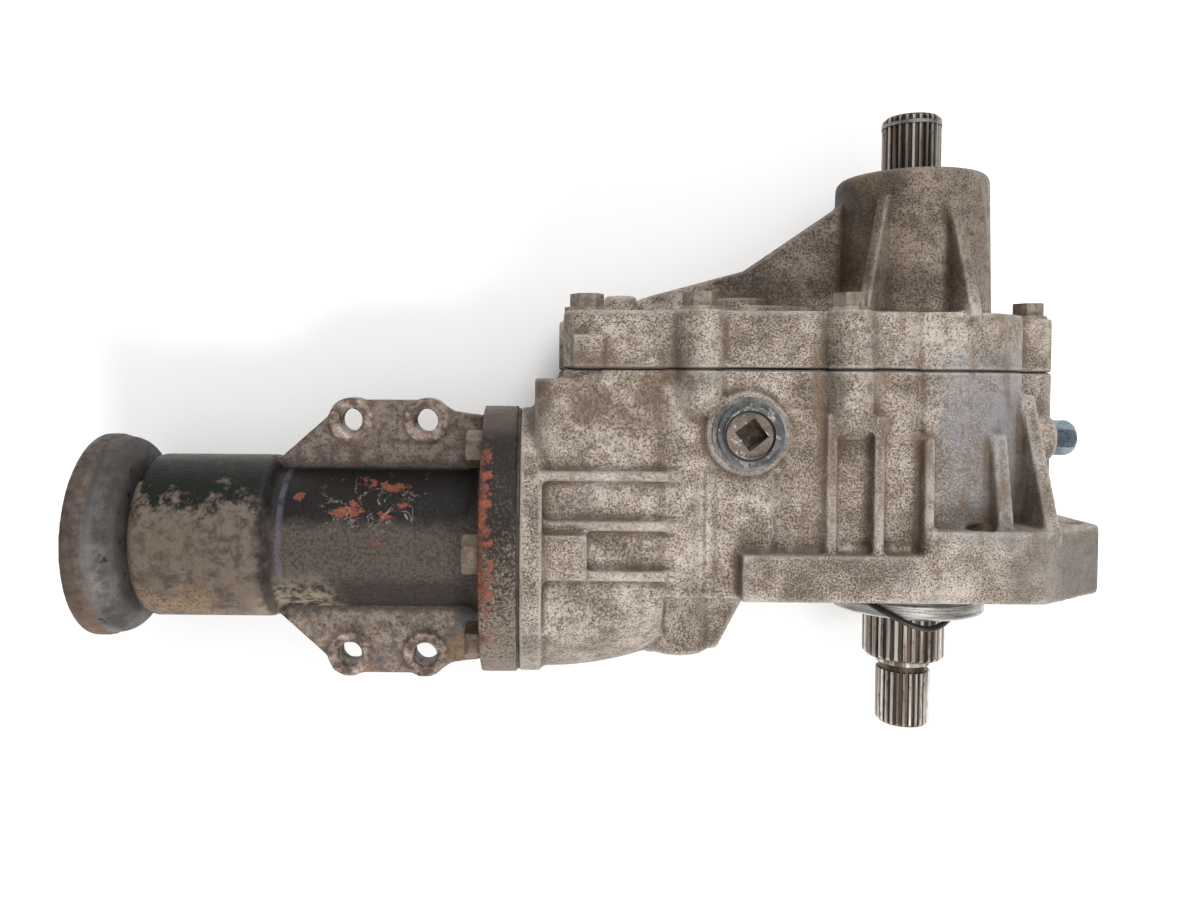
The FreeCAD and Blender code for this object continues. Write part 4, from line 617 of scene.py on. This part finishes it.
def cast_skin(node, name, body, material, voxel, faces, filling=()):
    """Copy of a CAD casting with its edges rounded as the sand leaves them; a filling closes its holes."""
    piece = mesh_piece(name, body, material)
    shell = bmesh.new()
    if filling:
        ring_on_pinion(shell, filling)
        bmesh.ops.recalc_face_normals(shell, faces=shell.faces)
    shell.from_mesh(NODES[node].data)
    bmesh.ops.remove_doubles(shell, verts=shell.verts, dist=0.002 * MM)
    shell.to_mesh(piece.data)
    shell.free()
    remesh = piece.modifiers.new("grain", "REMESH")
    remesh.mode = "VOXEL"
    remesh.voxel_size = voxel
    smooth = piece.modifiers.new("fillets", "SMOOTH")
    smooth.factor = 0.5
    smooth.iterations = bpy.context.scene.transfer_case_castings.fillet_passes
    mesh = baked(piece)
    thin = piece.modifiers.new("thinning", "DECIMATE")
    thin.ratio = min(1.0, faces / (2.0 * len(mesh.polygons)))
    mesh = baked(piece)
    mesh.materials.clear()
    mesh.materials.append(material)
    mesh.shade_smooth()
    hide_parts(node)
    return piece


def slipped_ring(p, material):
    """O-ring that has come off the front of its groove and hangs round the splined sleeve there."""
    piece = mesh_piece("o_ring_loop", "housing", material)
    stations = [(angle, p.groove_radius, p.groove_level) for angle in range(150, 251, 10)]
    stations += [(angle, radius * MM, level * MM) for angle, radius, level in SLIPPED_RUN]
    curve = bpy.data.curves.new("o_ring_path", "CURVE")
    curve.dimensions = "3D"
    curve.bevel_depth = p.wire
    curve.bevel_resolution = 5
    curve.resolution_u = 10
    path = curve.splines.new("BEZIER")
    path.bezier_points.add(len(stations) - 1)
    path.use_cyclic_u = True
    for point, (angle, radius, level) in zip(path.bezier_points, stations):
        turn = math.radians(angle)
        point.co = (radius * math.cos(turn), level, radius * math.sin(turn))
        point.handle_left_type = point.handle_right_type = "AUTO"
    guide = bpy.data.objects.new("o_ring_path", curve)
    bpy.context.scene.collection.objects.link(guide)
    bpy.context.view_layer.update()
    mesh = bpy.data.meshes.new_from_object(guide.evaluated_get(bpy.context.evaluated_depsgraph_get()))
    bpy.data.objects.remove(guide)
    mesh.materials.clear()
    mesh.materials.append(material)
    mesh.shade_smooth()
    piece.data = mesh
    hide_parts("spigot_o_ring")


def paint(names, material):
    """Gives CAD nodes that stay as they are their finish."""
    for name in names:
        mesh = NODES[name].data
        mesh.materials.clear()
        mesh.materials.append(material)


# Sizes and colours
class CastingSettings(bpy.types.PropertyGroup):
    voxel: FloatProperty(name="Cast grain", description="Cell size that rounds the castings",
                         default=1.15 * MM, min=0.5 * MM, max=4 * MM, subtype="DISTANCE", unit="LENGTH")
    fillet_passes: IntProperty(name="Fillet passes", description="Smoothing passes over the castings",
                               default=3, min=0, max=20)
    skin_faces: IntProperty(name="Faces", description="Triangles of each cast skin",
                            default=185000, min=20000, max=199000)
    clean_colour: FloatVectorProperty(name="Clean metal", description="Colour of the clean casting", size=3,
                                      default=shade(206, 192, 177), min=0, max=1, subtype="COLOR")
    stain_colour: FloatVectorProperty(name="Stain", description="Colour of the oil stains", size=3,
                                      default=shade(88, 75, 64), min=0, max=1, subtype="COLOR")
    # Share of dirt and painted shade laid into the corners
    corner_dirt_and_shade: FloatProperty(name="Dirt", description="Dirt in the corners", default=0.75, min=0, max=1)


class RetainerSettings(bpy.types.PropertyGroup):
    voxel: FloatProperty(name="Cast grain", description="Cell size that rounds the retainer",
                         default=1.0 * MM, min=0.5 * MM, max=4 * MM, subtype="DISTANCE", unit="LENGTH")
    flange_faces: IntProperty(name="Flange faces", description="Triangles of the output flange",
                              default=90000, min=10000, max=199000)
    paint_colour: FloatVectorProperty(name="Paint", description="Colour of the paint", size=3,
                                      default=shade(24, 22, 21), min=0, max=1, subtype="COLOR")
    rust_colour: FloatVectorProperty(name="Rust", description="Colour of the rusted scrapes", size=3,
                                     default=shade(150, 86, 68), min=0, max=1, subtype="COLOR")


class RingSettings(bpy.types.PropertyGroup):
    wire: FloatProperty(name="Wire", description="Radius of the O-ring's section",
                        default=1.2 * MM, min=0.5 * MM, max=3 * MM, subtype="DISTANCE", unit="LENGTH")
    groove_radius: FloatProperty(name="Seat", description="Radius of the seated part", default=31.85 * MM,
                                 min=20 * MM, max=40 * MM, subtype="DISTANCE", unit="LENGTH")
    groove_level: FloatProperty(name="Level", description="Y of the groove", default=-5.2 * MM,
                                min=-20 * MM, max=0, subtype="DISTANCE", unit="LENGTH")


class StageSettings(bpy.types.PropertyGroup):
    lens: FloatProperty(name="Focal length", description="Camera lens for a 36 mm wide frame", default=29.1,
                        min=5, max=300, subtype="DISTANCE_CAMERA", unit="CAMERA")
    camera_place: FloatVectorProperty(name="Camera", description="Place of the camera", size=3,
                                      default=(-0.1664, 0.0863, 0.4347), subtype="TRANSLATION", unit="LENGTH")
    camera_turn: FloatVectorProperty(name="Turn",
                                     description="Pitch, yaw and roll of the camera from straight down",
                                     size=3, default=(-0.0263, 0.0108, 0.0069),
                                     subtype="EULER", unit="ROTATION")
    camera_shift: FloatVectorProperty(name="Shift", description="Crop of the picture, as shares of its width",
                                      size=2, default=(0.0637, -0.0363))
    floor_colour: FloatVectorProperty(name="Floor", description="Colour of the floor", size=3,
                                      default=(0.97, 0.97, 0.97), min=0, max=1, subtype="COLOR")


# Pieces
class TRANSFERCASE_OT_castings(bpy.types.Operator):
    """Dresses the aluminium case and its cover"""
    bl_idname = "transfer_case.castings"
    bl_label = "Case and cover"

    def execute(self, context):
        p = context.scene.transfer_case_castings
        metal = CastAluminium().finished()
        cast_skin("main_case", "case_casting", "housing", metal, p.voxel, p.skin_faces)
        cast_skin("cover", "cover_casting", "housing", metal, p.voxel, p.skin_faces)
        return {"FINISHED"}


class TRANSFERCASE_OT_retainer(bpy.types.Operator):
    """Dresses the pinion retainer with its barrel, nose and ear plates"""
    bl_idname = "transfer_case.retainer"
    bl_label = "Pinion retainer"

    def execute(self, context):
        p = context.scene.transfer_case_retainer
        faces = context.scene.transfer_case_castings.skin_faces
        cast_skin("pinion_retainer", "retainer_casting", "housing", PaintedIron().finished(),
                  p.voxel, faces)
        return {"FINISHED"}


class TRANSFERCASE_OT_shafts(bpy.types.Operator):
    """Finishes the splined shafts, the spigot and the seals"""
    bl_idname = "transfer_case.shafts"
    bl_label = "Shafts"

    def execute(self, context):
        paint(["input_shaft", "through_shaft"], splined_steel())
        paint(["seal_carrier"], machined_aluminium())
        black = rubber()
        paint(["input_oil_seal", "tower_oil_seal", "pinion_oil_seal"], black)
        slipped_ring(context.scene.transfer_case_ring, black)
        paint(["through_bush"], bronze())
        return {"FINISHED"}


class TRANSFERCASE_OT_output(bpy.types.Operator):
    """Finishes the output flange"""
    bl_idname = "transfer_case.output"
    bl_label = "Output flange"

    def execute(self, context):
        p = context.scene.transfer_case_retainer
        cast_skin("companion_flange", "output_flange_forging", "pinion_line", rusty_iron(),
                  p.voxel, p.flange_faces, LIP_PROFILE)
        return {"FINISHED"}


class TRANSFERCASE_OT_fasteners(bpy.types.Operator):
    """Finishes the bolts and plugs"""
    bl_idname = "transfer_case.fasteners"
    bl_label = "Fasteners"

    def execute(self, context):
        for names, steel in FASTENER_STEELS:
            paint(names, worn_steel(*steel))
        paint(["filler_plug"], plug_steel())
        return {"FINISHED"}


class TRANSFERCASE_OT_inside(bpy.types.Operator):
    """Finishes the gears and bearings inside the case"""
    bl_idname = "transfer_case.inside"
    bl_label = "Gears and bearings"

    def execute(self, context):
        for names, steel in INSIDE_STEELS:
            paint(names, worn_steel(*steel))
        return {"FINISHED"}


class TRANSFERCASE_OT_stage(bpy.types.Operator):
    """Sets up the floor, the soft light and the camera"""
    bl_idname = "transfer_case.stage"
    bl_label = "Stage"

    def execute(self, context):
        p = context.scene.transfer_case_stage
        shell = bmesh.new()
        bmesh.ops.create_grid(shell, x_segments=8, y_segments=8, size=6.0,
                              matrix=Matrix.Translation((0, 0, FLOOR_Z - 0.05 * MM)))
        mesh = bpy.data.meshes.new("floor")
        shell.to_mesh(mesh)
        shell.free()
        floor = bpy.data.objects.new("floor", mesh)
        context.scene.collection.objects.link(floor)
        f = Finish("floor")
        grain = f.noise(3.0, 2.0, 0.5)
        colour = tuple(p.floor_colour)
        mesh.materials.append(f.done(f.blend(f.spread(grain, 0.3, 0.7, 0.0, 0.5), colour,
                                             tuple(0.98 * c for c in colour)), 0.85))

        camera = bpy.data.objects.new("camera", bpy.data.cameras.new("camera"))
        camera.data.lens = p.lens
        camera.data.sensor_width = FILM_WIDTH
        camera.data.clip_start = 0.01
        camera.data.shift_x, camera.data.shift_y = p.camera_shift
        pitch, yaw, roll = p.camera_turn
        turn = Matrix.Rotation(yaw, 4, "Y") @ Matrix.Rotation(pitch, 4, "X") @ Matrix.Rotation(roll, 4, "Z")
        camera.matrix_world = Matrix.Translation(p.camera_place) @ turn
        context.scene.collection.objects.link(camera)
        context.scene.camera = camera

        for name, place, size, power in LIGHTS:
            light = bpy.data.objects.new(name, bpy.data.lights.new(name, "AREA"))
            light.data.size = size
            light.data.energy = power
            light.location = place
            aim = Vector(LIT_PLACE) - Vector(place)
            light.rotation_euler = aim.to_track_quat("-Z", "Y").to_euler()
            context.scene.collection.objects.link(light)
        world = bpy.data.worlds.new("studio")
        world.use_nodes = True
        world.node_tree.nodes["Background"].inputs["Color"].default_value = (1, 1, 1, 1)
        world.node_tree.nodes["Background"].inputs["Strength"].default_value = WORLD_STRENGTH
        context.scene.world = world
        context.scene.view_settings.view_transform = "Standard"
        return {"FINISHED"}


OPERATORS = (
    TRANSFERCASE_OT_castings, TRANSFERCASE_OT_retainer, TRANSFERCASE_OT_shafts, TRANSFERCASE_OT_output,
    TRANSFERCASE_OT_fasteners, TRANSFERCASE_OT_inside, TRANSFERCASE_OT_stage,
)
SETTINGS = {
    "transfer_case_castings": CastingSettings,
    "transfer_case_retainer": RetainerSettings,
    "transfer_case_ring": RingSettings,
    "transfer_case_stage": StageSettings,
}


class TRANSFERCASE_PT_panel(bpy.types.Panel):
    """Lists the pieces of the transfer case"""
    bl_idname = "TRANSFERCASE_PT_panel"
    bl_label = "Transfer case"
    bl_space_type = "VIEW_3D"
    bl_region_type = "UI"
    bl_category = "Transfer case"

    def draw(self, context):
        for operator in OPERATORS:
            self.layout.operator(operator.bl_idname)
        for name, group in SETTINGS.items():
            column = self.layout.column()
            for setting in group.__annotations__:
                column.prop(getattr(context.scene, name), setting)


def register():
    for group in SETTINGS.values():
        bpy.utils.register_class(group)
    for operator in OPERATORS:
        bpy.utils.register_class(operator)
    bpy.utils.register_class(TRANSFERCASE_PT_panel)
    for name, group in SETTINGS.items():
        setattr(bpy.types.Scene, name, PointerProperty(type=group))


def unregister():
    for name in SETTINGS:
        delattr(bpy.types.Scene, name)
    bpy.utils.unregister_class(TRANSFERCASE_PT_panel)
    for operator in reversed(OPERATORS):
        bpy.utils.unregister_class(operator)
    for group in reversed(list(SETTINGS.values())):
        bpy.utils.unregister_class(group)


def main():
    register()
    for operator in OPERATORS:
        group, name = operator.bl_idname.split(".")
        getattr(getattr(bpy.ops, group), name)()


if __name__ == "__main__":
    main()
